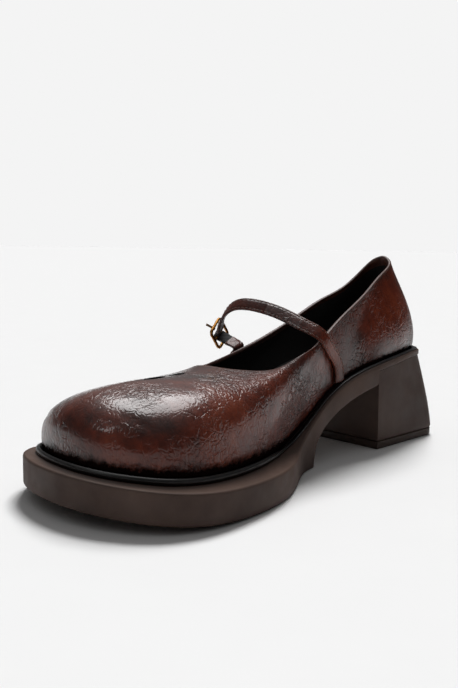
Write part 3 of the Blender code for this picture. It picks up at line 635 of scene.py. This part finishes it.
# %% Edge paint, thread, elastic and brass
edge_leather = clouded("painted_leather_edge", "#35180f", "#4d261a", 4, Roughness=0.42)
thread = clouded("waxed_brown_thread", "#4a2c22", "#7a5546", 1.2, Roughness=0.55)
strap_lining = clouded("strap_lining", "#3b2a27", "#57433e", 3, Roughness=0.6)
brass = {"rise": (0.4, 0.04), "Metallic": 1.0}
antique_brass = clouded("antique_brass", "#7d5326", "#b3813f", 3, Roughness=0.38, **brass)
dark_brass = clouded("dark_brass", "#4a3219", "#7a5830", 3, Roughness=0.36, **brass)

elastic, tree, shader, place = finish_of("woven_black_elastic", Roughness=0.8)
ribs = add(tree, "TexWave", {"Vector": place, "Scale": per(5.2), "Distortion": 0.4}, bands_direction="Z")
ribs = ribs.outputs["Fac"]
tone = add(tree, "ValToRGB", {"Fac": ribs}, ((0.2, "#07080a"), (0.8, "#181b1e")))
bump = add(tree, "Bump", {"Height": ribs, "Strength": 0.5, "Distance": 0.15 * MM})
feed(shader, {"Base Color": tone, "Normal": bump})

paper, tree, shader, place = finish_of("pale_paper", Roughness=0.9, Specular_IOR_Level=0.0)
fibre = add(tree, "TexNoise", {"Vector": place, "Scale": per(30), "Detail": 3.0})
feed(shader, {"Base Color": add(tree, "ValToRGB", {"Fac": fibre}, ((0.2, 0.795), (0.8, 0.805)))})

# %% [markdown]
# ## Mesh helpers
# A piece is a grid of points made into a mesh. Rings closed on themselves make shells and bands, and rings
# along a path make straps and wires.

# %% Mesh helpers
def piece(name, points, faces, materials, slots=None):
    """Mesh object, smooth shaded, that rides on the shoe."""
    mesh = bpy.data.meshes.new(name)
    mesh.from_pydata([tuple(map(float, p)) for p in points], [], [tuple(map(int, f)) for f in faces])
    mesh.update()
    made = bpy.data.objects.new(name, mesh)
    bpy.context.scene.collection.objects.link(made)
    for finish in materials:
        mesh.materials.append(finish)
    if slots is not None:
        mesh.polygons.foreach_set("material_index", np.array(slots, np.int32))
    mesh.shade_smooth()
    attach(made, "root")
    print(name, "has", len(faces), "faces")
    return made


def band(first, second, count):
    """Quads between two closed rings that start at the given vertex numbers."""
    pairs = [(i, (i + 1) % count) for i in range(count)]
    return [(first + i, first + j, second + j, second + i) for i, j in pairs]


def face_outwards(made):
    """Turns every face of a closed piece outwards."""
    work = bmesh.new()
    work.from_mesh(made.data)
    bmesh.ops.recalc_face_normals(work, faces=work.faces)
    work.to_mesh(made.data)
    work.free()


def tube(name, rings, materials, closed=False, slots=None):
    """Skin of cross sections along a path, closed on itself or capped at both ends."""
    size = len(rings[0])
    faces = []
    for k in range(len(rings) if closed else len(rings) - 1):
        faces += band(k * size, ((k + 1) % len(rings)) * size, size)
    if not closed:
        faces.append(tuple(reversed(range(size))))
        faces.append(tuple((len(rings) - 1) * size + i for i in range(size)))
    return piece(name, np.vstack(rings), faces, materials, slots)


# %% [markdown]
# ## Upper
# The outer skin, the folded topline and the lining are one closed shell. A cloth simulation wouldn't crease it
# where the photo shows creases, so they are pressed in as listed: each is a short line on the last, with a width
# and a depth, and pushes the skin in as a soft trough. Those of the outer side are guessed.

# %% Creases in shares of length, ball width and topline height, with width and depth in millimetres
CREASES = (
    ((0.925, 0.255, 0.345), (0.9, 0.33, 0.3), 1.6, 0.32),
    ((0.935, 0.215, 0.35), (0.915, 0.3, 0.285), 1.4, 0.28),
    ((0.915, 0.2, 0.39), (0.885, 0.29, 0.345), 1.5, 0.3),
    ((0.895, 0.17, 0.425), (0.87, 0.26, 0.39), 1.6, 0.28),
    ((0.945, 0.12, 0.375), (0.925, 0.18, 0.36), 1.4, 0.24),
    ((0.88, 0.12, 0.45), (0.862, 0.2, 0.425), 1.8, 0.26),
    ((0.8, 0.12, 0.49), (0.77, 0.26, 0.44), 2.2, 0.3),
    ((0.755, 0.13, 0.5), (0.725, 0.29, 0.43), 2.4, 0.34),
    ((0.72, 0.14, 0.5), (0.69, 0.31, 0.42), 2.2, 0.32),
    ((0.69, 0.19, 0.49), (0.655, 0.33, 0.42), 2.2, 0.32),
    ((0.64, 0.3, 0.47), (0.62, 0.35, 0.4), 2.0, 0.25),
    ((0.74, -0.13, 0.49), (0.71, -0.29, 0.4), 2.4, 0.35),
    ((0.69, -0.19, 0.47), (0.655, -0.32, 0.38), 2.4, 0.35),
    ((0.93, -0.2, 0.34), (0.905, -0.3, 0.29), 1.6, 0.3),
    ((0.56, -0.3, 0.43), (0.54, -0.31, 0.33), 2.4, 0.28),
)


def from_shares(row):
    along, sideways, tall = row
    return np.array([sideways * BALL_WIDTH, y_of(along), tall * TOP_HEIGHT])


def crease_depth(points):
    """How far each point is pushed in by the creases, fading towards both ends of each."""
    flat = points.reshape(-1, 3)
    total = np.zeros(len(flat))
    for first, last, wide, deep in CREASES:
        ends = []
        for row in (first, last):
            target = from_shares(row)
            ends.append(flat[np.linalg.norm(flat - target, axis=1).argmin()])
        line = ends[1] - ends[0]
        t = np.clip((flat - ends[0]) @ line / (line @ line), 0, 1)
        away = np.linalg.norm(flat - ends[0] - t[:, None] * line, axis=1) / (wide * MM)
        fade = 0.25 + 0.75 * np.sin(np.pi * np.clip(t, 0.0, 1.0))
        total += deep * MM * fade * (np.exp(-away ** 2) - 0.35 * np.exp(-((away - 1.9) ** 2)))
    return total.reshape(points.shape[:2])


inside = outer - normal * WALL
inside[0] = ring(UPPER_IN + WALL, above=GAP)
pushed = crease_depth(outer)
edge_fade = np.clip(np.minimum(steps, 1 - steps) / 0.06, 0, 1)[:, None]
skin = outer - normal * (pushed * edge_fade)[:, :, None]
print("deepest crease %.2f mm" % (pushed.max() / MM))

# %% Shell with its folded topline
up_end = unit(rise_dir[-1])
lip = []
for turn_by in np.linspace(15, 165, 6):
    a = math.radians(turn_by)
    middle = (skin[-1] + inside[-1]) / 2
    half_wall = (skin[-1] - inside[-1]) / 2
    lip.append(middle + half_wall * math.cos(a) + up_end * math.sin(a) * 0.55 * WALL)
inner_rows = inside[::-1][::2]
rings = list(skin) + lip + list(inner_rows)
shell_faces = []
shell_slots = []
LIP_ROWS = 2
FACING_ROWS = 3
for k in range(len(rings)):
    shell_faces += band(k * COUNT, ((k + 1) % len(rings)) * COUNT, COUNT)
    if k < len(skin) - LIP_ROWS:
        which = 0
    elif k < len(skin) + len(lip) + FACING_ROWS:
        which = 1
    else:
        which = 2
    shell_slots += [which] * COUNT
upper = piece("upper_shell", np.vstack(rings), shell_faces, [patent, edge_leather, lining], shell_slots)

# %% [markdown]
# The hide is a warmer brown at chosen places where the shoe swells. It is darker near the sole and the topline:
# painted shade. A vertex value says how warm each place is and how much painted shade darkens it: soft spots at
# chosen places, less near the sole and topline.

# %% Warm places of the hide, and painted shade near its edges
WARM_SPOTS = (
    ((0.955, 0.18, 0.3), 20, 0.13), ((0.895, 0.3, 0.19), 16, 0.14), ((0.76, 0.42, 0.33), 26, 0.11),
    ((0.66, 0.4, 0.3), 24, 0.12), ((0.6, 0.33, 0.4), 18, 0.08), ((0.15, 0.2, 0.72), 26, 0.12),
    ((0.28, 0.22, 0.64), 26, 0.06), ((0.86, 0.05, 0.45), 30, 0.05), ((0.86, -0.3, 0.33), 26, 0.1),
    ((0.62, -0.33, 0.33), 26, 0.1), ((0.2, -0.22, 0.62), 28, 0.1),
)


def spots(points, rows):
    """Sum of soft round spots at the given places, each with a width in millimetres and a strength."""
    total = np.zeros(len(points))
    for row, wide, strength in rows:
        away = np.linalg.norm(points - from_shares(row), axis=1) / (wide * MM)
        total += strength * np.exp(-away ** 2)
    return total


def keep_values(made, **values):
    """Writes one number per point, or one for them all, for the patent's nodes to read."""
    for name, numbers in values.items():
        attribute = made.data.attributes.new(name, "FLOAT", "POINT")
        attribute.data.foreach_set("value", np.full(len(attribute.data), numbers, np.float32))


rest = (len(lip) + len(inner_rows)) * COUNT
rows_up = np.concatenate([np.repeat(steps, COUNT), np.ones(rest)])
skin_points = np.vstack(rings)
# Painted shade: less warmth, so a darker hide, near the sole and near the topline.
tone_and_edge_shade = spots(skin_points, WARM_SPOTS) - 0.13 * np.exp(-rows_up / 0.09) - 0.09 * np.exp(-(1 - rows_up) / 0.05)
keep_values(upper, glow=tone_and_edge_shade)
print("warmth from %.2f to %.2f" % (tone_and_edge_shade.min(), tone_and_edge_shade.max()))

# %% [markdown]
# The film is polished unevenly: dull on the sides, bright over the toe, the waist and the heel, where the photo
# shows its lights. A second value, gloss, carries that, and a third says how far above the bead a point lies, up
# to the top of the painted shade over the bead. That painted shade is a wide band at the forefoot and a narrow
# one behind.

# %% Polish, and the painted shade over the bead
DULL_GLOSS = 0.17
GLOSS_SPOTS = (
    ((0.86, 0.15, 0.45), 40, 0.6), ((0.7, 0.18, 0.49), 34, 0.45), ((0.54, 0.3, 0.3), 22, 0.55),
    ((0.44, 0.23, 0.4), 16, 0.4), ((0.33, 0.23, 0.505), 11, 0.6), ((0.2, 0.23, 0.515), 11, 0.6),
    ((0.12, 0.2, 0.53), 11, 0.45), ((0.86, -0.15, 0.45), 40, 0.4), ((0.34, -0.25, 0.53), 22, 0.6),
    ((0.52, -0.32, 0.33), 22, 0.4),
)
# Height of the painted shade over the bead at the forefoot; behind, it is 0.38 of this.
GROOVE_SHADE_HEIGHT = 12 * MM
gloss = np.clip(DULL_GLOSS + spots(skin_points, GLOSS_SPOTS), 0.0, 1.0)
climb = np.linalg.norm(np.diff(outer, axis=0), axis=2)
climbed = np.concatenate([np.zeros((1, COUNT)), np.cumsum(climb, axis=0)]).reshape(-1)
forefoot = np.clip((EDGE_SHARE - 0.44) / 0.16, 0, 1)
groove_shade_up_to = np.tile(GROOVE_SHADE_HEIGHT * (0.38 + 0.62 * forefoot), len(steps))
keep_values(upper, gloss=gloss, above_bead=np.concatenate([np.clip(climbed / groove_shade_up_to, 0, 1), np.ones(rest)]))
print("polish from %.2f to %.2f" % (gloss.min(), gloss.max()))

# %% [markdown]
# Two lens-shaped holes lie one behind the other on the middle of the vamp. Each is cut through the shell by a
# Boolean with a tall lens-shaped cutter, and the cut wall takes the black of the lining. The points that a cut
# adds carry no tone, polish or height above the bead of their own, so the painted shade leaves black teeth round
# the hole. So each point takes the values of the nearest point of the uncut shell. The edges of a cut are marked
# sharp.

# %% Cut-outs
CUTOUTS = ((0.7860, 5.8, 12.5), (0.7330, 5.0, 9.5))
CUT_ASIDE = 1.2 * MM
CUTTER_HEIGHTS = (30 * MM, 75 * MM)
face_outwards(upper)
before = len(upper.data.polygons)
uncut = KDTree(len(upper.data.vertices))
for index, vertex in enumerate(upper.data.vertices):
    uncut.insert(vertex.co, index)
uncut.balance()
uncut_values = {}
for name in ("glow", "gloss", "above_bead"):
    values = np.zeros(len(upper.data.vertices), np.float32)
    upper.data.attributes[name].data.foreach_get("value", values)
    uncut_values[name] = values
for number, (along, wide, long) in enumerate(CUTOUTS):
    outline = []
    for angle in np.linspace(0, 2 * math.pi, 40, endpoint=False):
        narrow = math.sin(angle) * abs(math.sin(angle)) ** 0.4
        outline.append((CUT_ASIDE + wide / 2 * narrow * MM, y_of(along) + long / 2 * math.cos(angle) * MM))
    ends = [np.array([(x, y, z) for x, y in outline]) for z in CUTTER_HEIGHTS]
    cutter = tube("hole_cutter_%d" % number, ends, [lining])
    face_outwards(cutter)
    cut = upper.modifiers.new("hole_%d" % number, "BOOLEAN")
    cut.operation = "DIFFERENCE"
    cut.object = cutter
    cut.solver = "EXACT"
    cut.material_mode = "TRANSFER"
    with bpy.context.temp_override(object=upper, active_object=upper, selected_objects=[upper]):
        bpy.ops.object.modifier_apply(modifier=cut.name)
    bpy.data.objects.remove(cutter, do_unlink=True)
nearest = [uncut.find(vertex.co)[1] for vertex in upper.data.vertices]
for name, values in uncut_values.items():
    upper.data.attributes[name].data.foreach_set("value", values[nearest])
sheet = bmesh.new()
sheet.from_mesh(upper.data)
for edge in sheet.edges:
    added = all(uncut.find(corner.co)[2] > 1e-6 for corner in edge.verts)
    if added and len(edge.link_faces) == 2 and edge.calc_face_angle(0.0) > math.radians(50):
        edge.smooth = False
sheet.to_mesh(upper.data)
sheet.free()
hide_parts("upper")
print("upper has", len(upper.data.polygons), "faces,", before, "before the holes")

# %% [markdown]
# ## Bead
# The bead is a rounded strip that stands on the ledge. A bevelled curve would give it one section all round.
# Here it is 18 loops round the sole, one for each point of its section, so that it can rise from a low strip at
# the heel and the waist to a full bead round the forefoot.

# %% Bead
BEAD_SHAPE = ((0.05, 0.00), (0.75, 0.00), (1.00, 0.25), (1.00, 0.62), (0.80, 0.95), (0.48, 1.00), (0.30, 0.70))
bead_outline = closed_spline(BEAD_SHAPE, 18)
full = np.clip((EDGE_SHARE - 0.50) / 0.14, 0, 1)
bead_tall = BEAD_HEIGHT * (0.22 + 0.63 * full * full * (3 - 2 * full))
bead_rings = []
for sideways, tall in bead_outline:
    inset = LEDGE_IN + BEAD_WIDTH * (1 - sideways)
    bead_rings.append(ring(inset, above=GAP + bead_tall * tall))
bead = tube("bead", bead_rings, [bead_black], closed=True)
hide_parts("welt")

# %% [markdown]
# ## Sock
# The sock lies on the insole inside the shoe, a thin padded sheet cut to the inside of the upper. A plane would
# show a hard edge, so it is stacked from loops of the sole's edge, the upper ones a little further in.

# %% Sock
def rungs(start):
    """Faces across a ring of the sole's stations, rung by rung."""
    faces = [(start, start + 1, start + COUNT - 1)]
    for i in range(1, HALF):
        faces.append((start + i, start + i + 1, start + COUNT - i - 1, start + COUNT - i))
    faces.append((start + HALF, start + HALF + 1, start + HALF + 2))
    return faces


def layered(name, rings, finish, sharp_from=38):
    """Closed piece of stacked rings round the sole, with rungs across the first and the last one."""
    faces = [tuple(reversed(f)) for f in rungs(0)]
    for k in range(len(rings) - 1):
        faces += band(k * COUNT, (k + 1) * COUNT, COUNT)
    faces += rungs((len(rings) - 1) * COUNT)
    made = piece(name, np.vstack(rings), faces, [finish])
    face_outwards(made)
    made.data.set_sharp_from_angle(angle=math.radians(sharp_from))
    return made


sock_in = UPPER_IN + WALL + GAP
sock_rings = [
    ring(sock_in, above=GAP),
    ring(sock_in, above=GAP + 1.3 * MM),
    ring(sock_in + 0.4 * MM, above=GAP + 1.8 * MM),
    ring(sock_in + 1.2 * MM, above=GAP + 2.0 * MM),
]
insole = layered("sock_sheet", sock_rings, sock, sharp_from=40)
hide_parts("insole")

# %% [markdown]
# ## Strap
# The strap is two layers sewn together with a row of stitches along each edge: patent leather outside, thin
# lining inside. It follows the inner side of the upper, crosses the instep and ends in the buckle. A flat strip
# bent along a curve would twist where the path turns, so each section is placed square to the path and led
# across its width.

# %% The buckle's place
frame_side = unit(np.array([0.20, -0.74, -0.63]))
frame_up = np.array([0.09, -0.63, 0.77])
frame_up = unit(frame_up - frame_side * np.dot(frame_up, frame_side))
frame_out = np.cross(frame_side, frame_up)
BUCKLE_MIDDLE = from_shares(BUCKLE_AT)


def frame_point(side, along, out=0.0):
    """Point by the buckle, from distances across it, along the strap and out of its face."""
    return BUCKLE_MIDDLE + frame_side * side + frame_up * along + frame_out * out


print("buckle at", np.round(BUCKLE_MIDDLE / MM, 1))


# %% Points beside the upper, and even paths
def on_side(share, part, clear, medial=True):
    """Point off the outside of the upper and the way along it."""
    level = part * PROFILE_STEPS
    low = int(min(level, PROFILE_STEPS - 1e-6))
    keep = slice(1, HALF + 1) if medial else slice(HALF + 2, COUNT)
    rows = outer[low:low + 2, keep]
    row = rows[0] + (rows[1] - rows[0]) * (level - low)
    order = np.argsort(-row[:, 1])
    at = -y_of(share)
    run_y = -row[order, 1]
    point = np.array([np.interp(at, run_y, row[order, k]) for k in range(3)])
    off = np.array([np.interp(at, run_y, normal[low, keep][order, k]) for k in range(3)])
    ahead = np.array([np.interp(at + 3 * MM, run_y, row[order, k]) for k in range(3)]) - point
    return point + unit(off) * clear, unit(ahead)


def resample(rows, ways, count):
    """Even points on a smooth curve through the rows, with the ways interpolated along it."""
    rows = np.array(rows)
    at = np.linspace(0, 1, count) * run_of(rows)[-1]
    ways = np.array(ways, float)
    even = np.stack([np.interp(at, run_of(rows), ways[:, k]) for k in range(3)], 1)
    return open_spline(rows, count), even


def eased(rows, reach):
    """Rows along a path, smoothed over the given number of neighbours, with both ends kept."""
    weights = np.exp(-(np.arange(-2 * reach, 2 * reach + 1) / reach) ** 2)
    padded = np.pad(rows, ((2 * reach, 2 * reach), (0, 0)), mode="reflect", reflect_type="odd")
    smooth = [np.convolve(padded[:, k], weights / weights.sum(), mode="valid") for k in range(3)]
    return np.stack(smooth, 1)


def frames_along(path, lean):
    """Directions ahead, across the width and out of the face at each point of a band's path."""
    ahead = unit(np.gradient(path, axis=0))
    wide = unit(lean - ahead * np.sum(lean * ahead, 1, keepdims=True))
    return ahead, wide, np.cross(ahead, wide)


# %% Strap's path
strap_rows = []
strap_ways = []
for share, part in STRAP_ON_SIDE:
    point, way = on_side(share, part, STRAP_THICK / 2 + 1.6 * GAP)
    strap_rows.append(point)
    strap_ways.append(way)
for row in STRAP_OVER:
    strap_rows.append(from_shares(row))
    strap_ways.append((0.0, -0.60, -0.80))
for along, out in STRAP_END:
    strap_rows.append(frame_point(0.0, along, out))
    strap_ways.append(frame_side)
STRAP_STEPS = 180
strap_path, strap_lean = resample(strap_rows, strap_ways, STRAP_STEPS)
strap_path = eased(strap_path, 10)
strap_lean = eased(unit(strap_lean), 24)
strap_run = run_of(strap_path)
print("strap is %.0f mm long" % (strap_run[-1] / MM))

# %% Strap's section: crowned face, grooves under the stitches, flat back
STRAP_SECTION = (
    (-0.500, 0.00), (-0.490, 0.24), (-0.455, 0.38), (-0.405, 0.40), (-0.375, 0.33), (-0.345, 0.42),
    (-0.240, 0.48), (-0.100, 0.50), (0.100, 0.50), (0.240, 0.48), (0.345, 0.42), (0.375, 0.33),
    (0.405, 0.40), (0.455, 0.38), (0.490, 0.24), (0.500, 0.00), (0.490, -0.30), (0.440, -0.46),
    (0.220, -0.50), (-0.220, -0.50), (-0.440, -0.46), (-0.490, -0.30),
)
ahead, wide, face = frames_along(strap_path, strap_lean)
crown = strap_path[STRAP_STEPS // 2]
outward = 1.0 if np.dot(face[STRAP_STEPS // 2], crown - (0, crown[1], 0.05)) > 0 else -1.0
SEAM_AT = 0.615
POLISH_FROM = 0.42
along_strap = strap_run / strap_run[-1]


def strip_rings(path, wide, face, section, width, thick, sunk=0.0):
    """Cross sections of a strip along a path, with its width, thickness and sunken face at each point."""
    a, b = np.array(section).T
    rows = np.broadcast_arrays(width, thick, sunk, path[:, 0])[:3]
    rings = []
    for here, side, up, w, t, down in zip(path, wide, face, *rows):
        rings.append(here + np.outer(a * w, side) + np.outer((b - down * (b > 0.1)) * t, up))
    return rings


seam = 0.10 * np.exp(-((along_strap - SEAM_AT) / 0.006) ** 2)
face *= outward
strap_rings = strip_rings(strap_path, wide, face, STRAP_SECTION, STRAP_WIDTH, STRAP_THICK, seam)
round_strap = len(STRAP_SECTION)
FLAT_BACK = range(15, 22)
strap_slots = []
for k in range(len(strap_rings) - 1):
    strap_slots += [1 if i in FLAT_BACK else 0 for i in range(round_strap)]
strap_slots += [2, 2]
strap = tube("strap_band", strap_rings, [strap_patent, strap_lining, edge_leather], slots=strap_slots)
warmth = 0.05 + 0.05 * np.sin(along_strap * 9)
polished = np.where((along_strap > POLISH_FROM) & (along_strap < SEAM_AT), 0.95, 0.40)
keep_values(strap, glow=np.repeat(warmth, round_strap), gloss=np.repeat(polished, round_strap), above_bead=1.0)
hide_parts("strap")

# %% [markdown]
# Stitches are short fat threads lying in their groove, 2.4 mm apart. Each is a small bent capsule of thread,
# sunk at both ends. One row runs down each edge of the strap.

# %% Stitches
def stitch_row(name, places, directions, outs, length, radius):
    """One mesh of many small stitches, each a capsule bent over its middle."""
    points = []
    faces = []
    sides = 6
    for middle, along, out in zip(places, directions, outs):
        base = len(points)
        across_it = np.cross(along, out)
        for t, thick in ((-0.5, 0.35), (-0.36, 0.85), (0.0, 1.0), (0.36, 0.85), (0.5, 0.35)):
            centre = middle + along * t * length + out * radius * (0.75 - 3.0 * t * t)
            for q in range(sides):
                a = 2 * math.pi * q / sides
                points.append(centre + (out * math.sin(a) + across_it * math.cos(a)) * radius * thick)
        for k in range(4):
            faces += band(base + k * sides, base + (k + 1) * sides, sides)
        faces.append(tuple(base + q for q in reversed(range(sides))))
        faces.append(tuple(base + 4 * sides + q for q in range(sides)))
    made = piece(name, points, faces, [thread])
    return made


STITCH_STEP = 2.4 * MM
STITCH_LONG = 1.7 * MM
STITCH_RADIUS = 0.24 * MM
stitch_at = np.arange(4 * MM, strap_run[-1] - 2 * MM, STITCH_STEP)
at = np.searchsorted(strap_run, stitch_at)
for label, side in (("front", 0.375), ("back", -0.375)):
    places = strap_path[at] + wide[at] * side * STRAP_WIDTH + face[at] * 0.35 * STRAP_THICK
    stitch_row("strap_stitches_" + label, places, ahead[at], face[at], STITCH_LONG, STITCH_RADIUS)
print("stitches in each row:", len(at))

# %% [markdown]
# ## Tab
# A strip of woven elastic comes out of a small leather end sewn to the collar, and is folded round the
# buckle's middle bar. The two are one band, split by material, because the join is too small to see.

# %% Tab
BAR = 1.2 * MM
fold = BAR / 2 + 1.8 * GAP + TAB_THICK / 2
tab_rows = []
tab_ways = []
for part in (0.80, 0.89, 0.975):
    point, way = on_side(TAB_ALONG, part, TAB_THICK / 2 + 1.6 * GAP, False)
    tab_rows.append(point)
    tab_ways.append(way)
tab_rows.append(tab_rows[-1] + np.array([-1.5, -0.3, 1.5]) * MM)
tab_ways.append(tab_ways[-1])
FOLD_START = 108


def fold_point(angle):
    a = math.radians(angle)
    return frame_point(0.0, -fold * math.sin(a), -fold * math.cos(a))


free_end = tab_rows[-1]
free_way = tab_ways[-1]
for part in (0.30, 0.55, 0.75, 0.90):
    tab_rows.append(free_end * (1 - part) + fold_point(FOLD_START) * part)
    tab_ways.append(free_way * (1 - part) + frame_side * part)
for angle in np.linspace(FOLD_START, FOLD_START + 215, 12):
    tab_rows.append(fold_point(angle))
    tab_ways.append(frame_side)
TAB_STEPS = 90
tab_path, tab_lean = resample(tab_rows, tab_ways, TAB_STEPS)
tab_path = eased(tab_path, 3)
tab_run = run_of(tab_path)
ahead_tab, wide_tab, face_tab = frames_along(tab_path, tab_lean)
TAB_SECTION = (
    (-0.50, 0.00), (-0.48, 0.36), (-0.40, 0.48), (-0.13, 0.50), (0.13, 0.50), (0.40, 0.48), (0.48, 0.36),
    (0.50, 0.00), (0.48, -0.36), (0.40, -0.48), (0.13, -0.50), (-0.13, -0.50), (-0.40, -0.48), (-0.48, -0.36),
)
LEATHER_END = 12.5 * MM
swell = np.where(tab_run < LEATHER_END, 1.10, 1.0)
tab_rings = strip_rings(tab_path, wide_tab, face_tab, TAB_SECTION, TAB_WIDTH * swell, TAB_THICK * swell)
tab_slots = []
for k in range(len(tab_rings) - 1):
    tab_slots += [0 if tab_run[k] < LEATHER_END else 1] * len(TAB_SECTION)
tab_slots += [0, 1]
tab = tube("tab_band", tab_rings, [strap_patent, elastic], slots=tab_slots)
keep_values(tab, glow=0.02, gloss=0.45, above_bead=1.0)
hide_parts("tab")

# %% [markdown]
# ## Platform and heel
# The platform and the heel are moulded in one colour of foamed rubber. They are drawn from the same columns as
# the model's, only with more stations, so that their long curves shade smoothly.

# %% Platform
under = sole_under(EDGE_SHARE)
thick = sole_top(EDGE_SHARE) - under
low_edge = np.minimum(1.5 * MM, 0.3 * thick)
high_edge = np.minimum(1.3 * MM, 0.3 * thick)
floor_inset = np.where(EDGE_SHARE < BREAST, 0.5 * MM, 1.3 * MM)


def level_ring(inset, height):
    return np.column_stack([ring(inset)[:, :2], height])


sole_rings = []
for angle in np.linspace(0, 90, 6):
    a = math.radians(angle)
    sole_rings.append(level_ring(floor_inset * (1 - math.sin(a)), under + low_edge * (1 - math.cos(a))))
top = sole_top(EDGE_SHARE)
for angle in np.linspace(0, 90, 6):
    a = math.radians(angle)
    sole_rings.append(level_ring(1.1 * MM * (1 - math.cos(a)), top - high_edge * (1 - math.sin(a))))
platform = layered("platform", sole_rings, sole_rubber)
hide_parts("outsole")
print("platform spans", np.round(np.ptp(np.vstack(sole_rings), axis=0) / MM, 1))

# %% Heel block and its top piece
HEEL_POINTS = 140
HEEL_FRONT_Y = -HEEL_BASE_LENGTH / 2


def even_points(line):
    at = np.linspace(0, run_of(line)[-1], HEEL_POINTS)
    return np.stack([np.interp(at, run_of(line), line[:, k]) for k in range(2)], 1)


behind = EDGE_SHARE < BREAST
seat_loop = ring(SEAT_INSET)[:, :2]
seat_medial = seat_loop[:HALF + 2][behind[:HALF + 2]]
seat_lateral = seat_loop[HALF + 2:][behind[HALF + 2:]]
seat_edge = np.vstack([seat_lateral, seat_medial])
seat_edge = seat_edge[seat_edge[:, 1] > HEEL_FRONT_Y + 0.5 * MM]
ends = [(seat_edge[0, 0], HEEL_FRONT_Y)], [(seat_edge[-1, 0], HEEL_FRONT_Y)]
seat_ring = even_points(np.vstack([ends[0], seat_edge, ends[1]]))

half = HEEL_BASE_WIDTH / 2
long_half = HEEL_BASE_LENGTH / 2
base_line = [(-half, -long_half)]
for corner_x, start in ((-half + BASE_CORNER, 180), (half - BASE_CORNER, 90)):
    for angle in np.linspace(start, start - 90, 17):
        a = math.radians(angle)
        corner_y = long_half - BASE_CORNER
        base_line.append((corner_x + BASE_CORNER * math.cos(a), corner_y + BASE_CORNER * math.sin(a)))
base_line.append((half, -long_half))
base_ring = even_points(np.array(base_line))


def heel_ring(blend, inset, z):
    flat = (base_ring * (1 - blend) + seat_ring * blend) * (1 - inset / half)
    return np.column_stack([flat, z * np.ones(HEEL_POINTS)])


def heel_piece(name, rings, finish, node):
    made = tube(name, rings, [finish])
    face_outwards(made)
    made.data.set_sharp_from_angle(angle=math.radians(38))
    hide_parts(node)
    return made


seat_z = sole_top(share_of(seat_ring[:, 1])) - SEAT_THICK - GAP
block_low = TIP_THICK + GAP
block_rings = [heel_ring(0.0, a * MM, block_low + z * MM) for a, z in ((0.7, 0.0), (0.2, 0.35), (0.0, 0.9))]
for part in np.linspace(0.08, 1.0, 12):
    block_rings.append(heel_ring(part ** 1.35, 0.0, block_low + (seat_z - block_low) * part))
heel_piece("heel_body", block_rings, heel_rubber, "heel_block")
tip_insets = (0.90, 0.40, 0.20, 0.20, 0.35, 0.80)
tip_heights = (0.0, 0.25 * MM, 0.8 * MM, TIP_THICK - 0.6 * MM, TIP_THICK - 0.2 * MM, TIP_THICK)
tip_rings = [heel_ring(0.0, a * MM, z) for a, z in zip(tip_insets, tip_heights)]
heel_piece("heel_top_piece", tip_rings, tip_rubber, "heel_tip")

# %% [markdown]
# ## Buckle
# The buckle is brass, a rounded square of wire with a bar across its middle, lacquered to look old. The frame
# and the bar are drawn again from more sections, so that they shade round. The prong keeps the model's shape.

# %% Buckle's frame with its middle bar, and the prong's finish
WIRE = 1.7 * MM
WIRE_SIDES = 14
BAR_REACH = 6.1 * MM
FRAME_WIDE = 12.4 * MM
FRAME_LONG = 12.6 * MM
FRAME_CORNER = 2.2 * MM


def wire(path, radius, closed):
    """Rings of a round wire that lies in the buckle's plane."""
    path = np.array(path)
    if closed:
        ahead = unit(np.roll(path, -1, 0) - np.roll(path, 1, 0))
    else:
        ahead = unit(np.gradient(path, axis=0))
    rings = []
    for here, onward in zip(path, ahead):
        a = unit(np.cross(onward, frame_out))
        b = np.cross(onward, a)
        turns = np.arange(WIRE_SIDES) * 2 * math.pi / WIRE_SIDES
        rings.append(np.array([here + radius * (a * math.cos(q) + b * math.sin(q)) for q in turns]))
    return rings


frame_path = []
for corner_side, corner_up, start in ((1, 1, 0), (-1, 1, 90), (-1, -1, 180), (1, -1, 270)):
    for angle in np.linspace(start, start + 90, 9):
        a = math.radians(angle)
        side = corner_side * (FRAME_WIDE / 2 - FRAME_CORNER) + FRAME_CORNER * math.cos(a)
        along = corner_up * (FRAME_LONG / 2 - FRAME_CORNER) + FRAME_CORNER * math.sin(a)
        frame_path.append(frame_point(side, along))
buckle = tube("buckle_wire", wire(frame_path, WIRE / 2, True), [antique_brass], closed=True)
bar_path = [frame_point(-BAR_REACH, 0), frame_point(BAR_REACH, 0)]
bar = tube("buckle_bar", wire(bar_path, BAR / 2, False), [antique_brass])
for made in (buckle, bar):
    face_outwards(made)
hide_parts("buckle_frame")
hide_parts("buckle_frame")
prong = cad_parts["buckle_prong"]
prong.data.materials.clear()
prong.data.materials.append(dark_brass)

# %% [markdown]
# ## Floor
# A wide sheet of pale paper lies under the shoe, lit as evenly as the wall behind it.

# %% Floor
floor = piece("paper_floor", [(-30, -30, 0), (30, -30, 0), (30, 30, 0), (-30, 30, 0)], [(0, 1, 2, 3)], [paper])
floor.location.z = -0.05 * MM
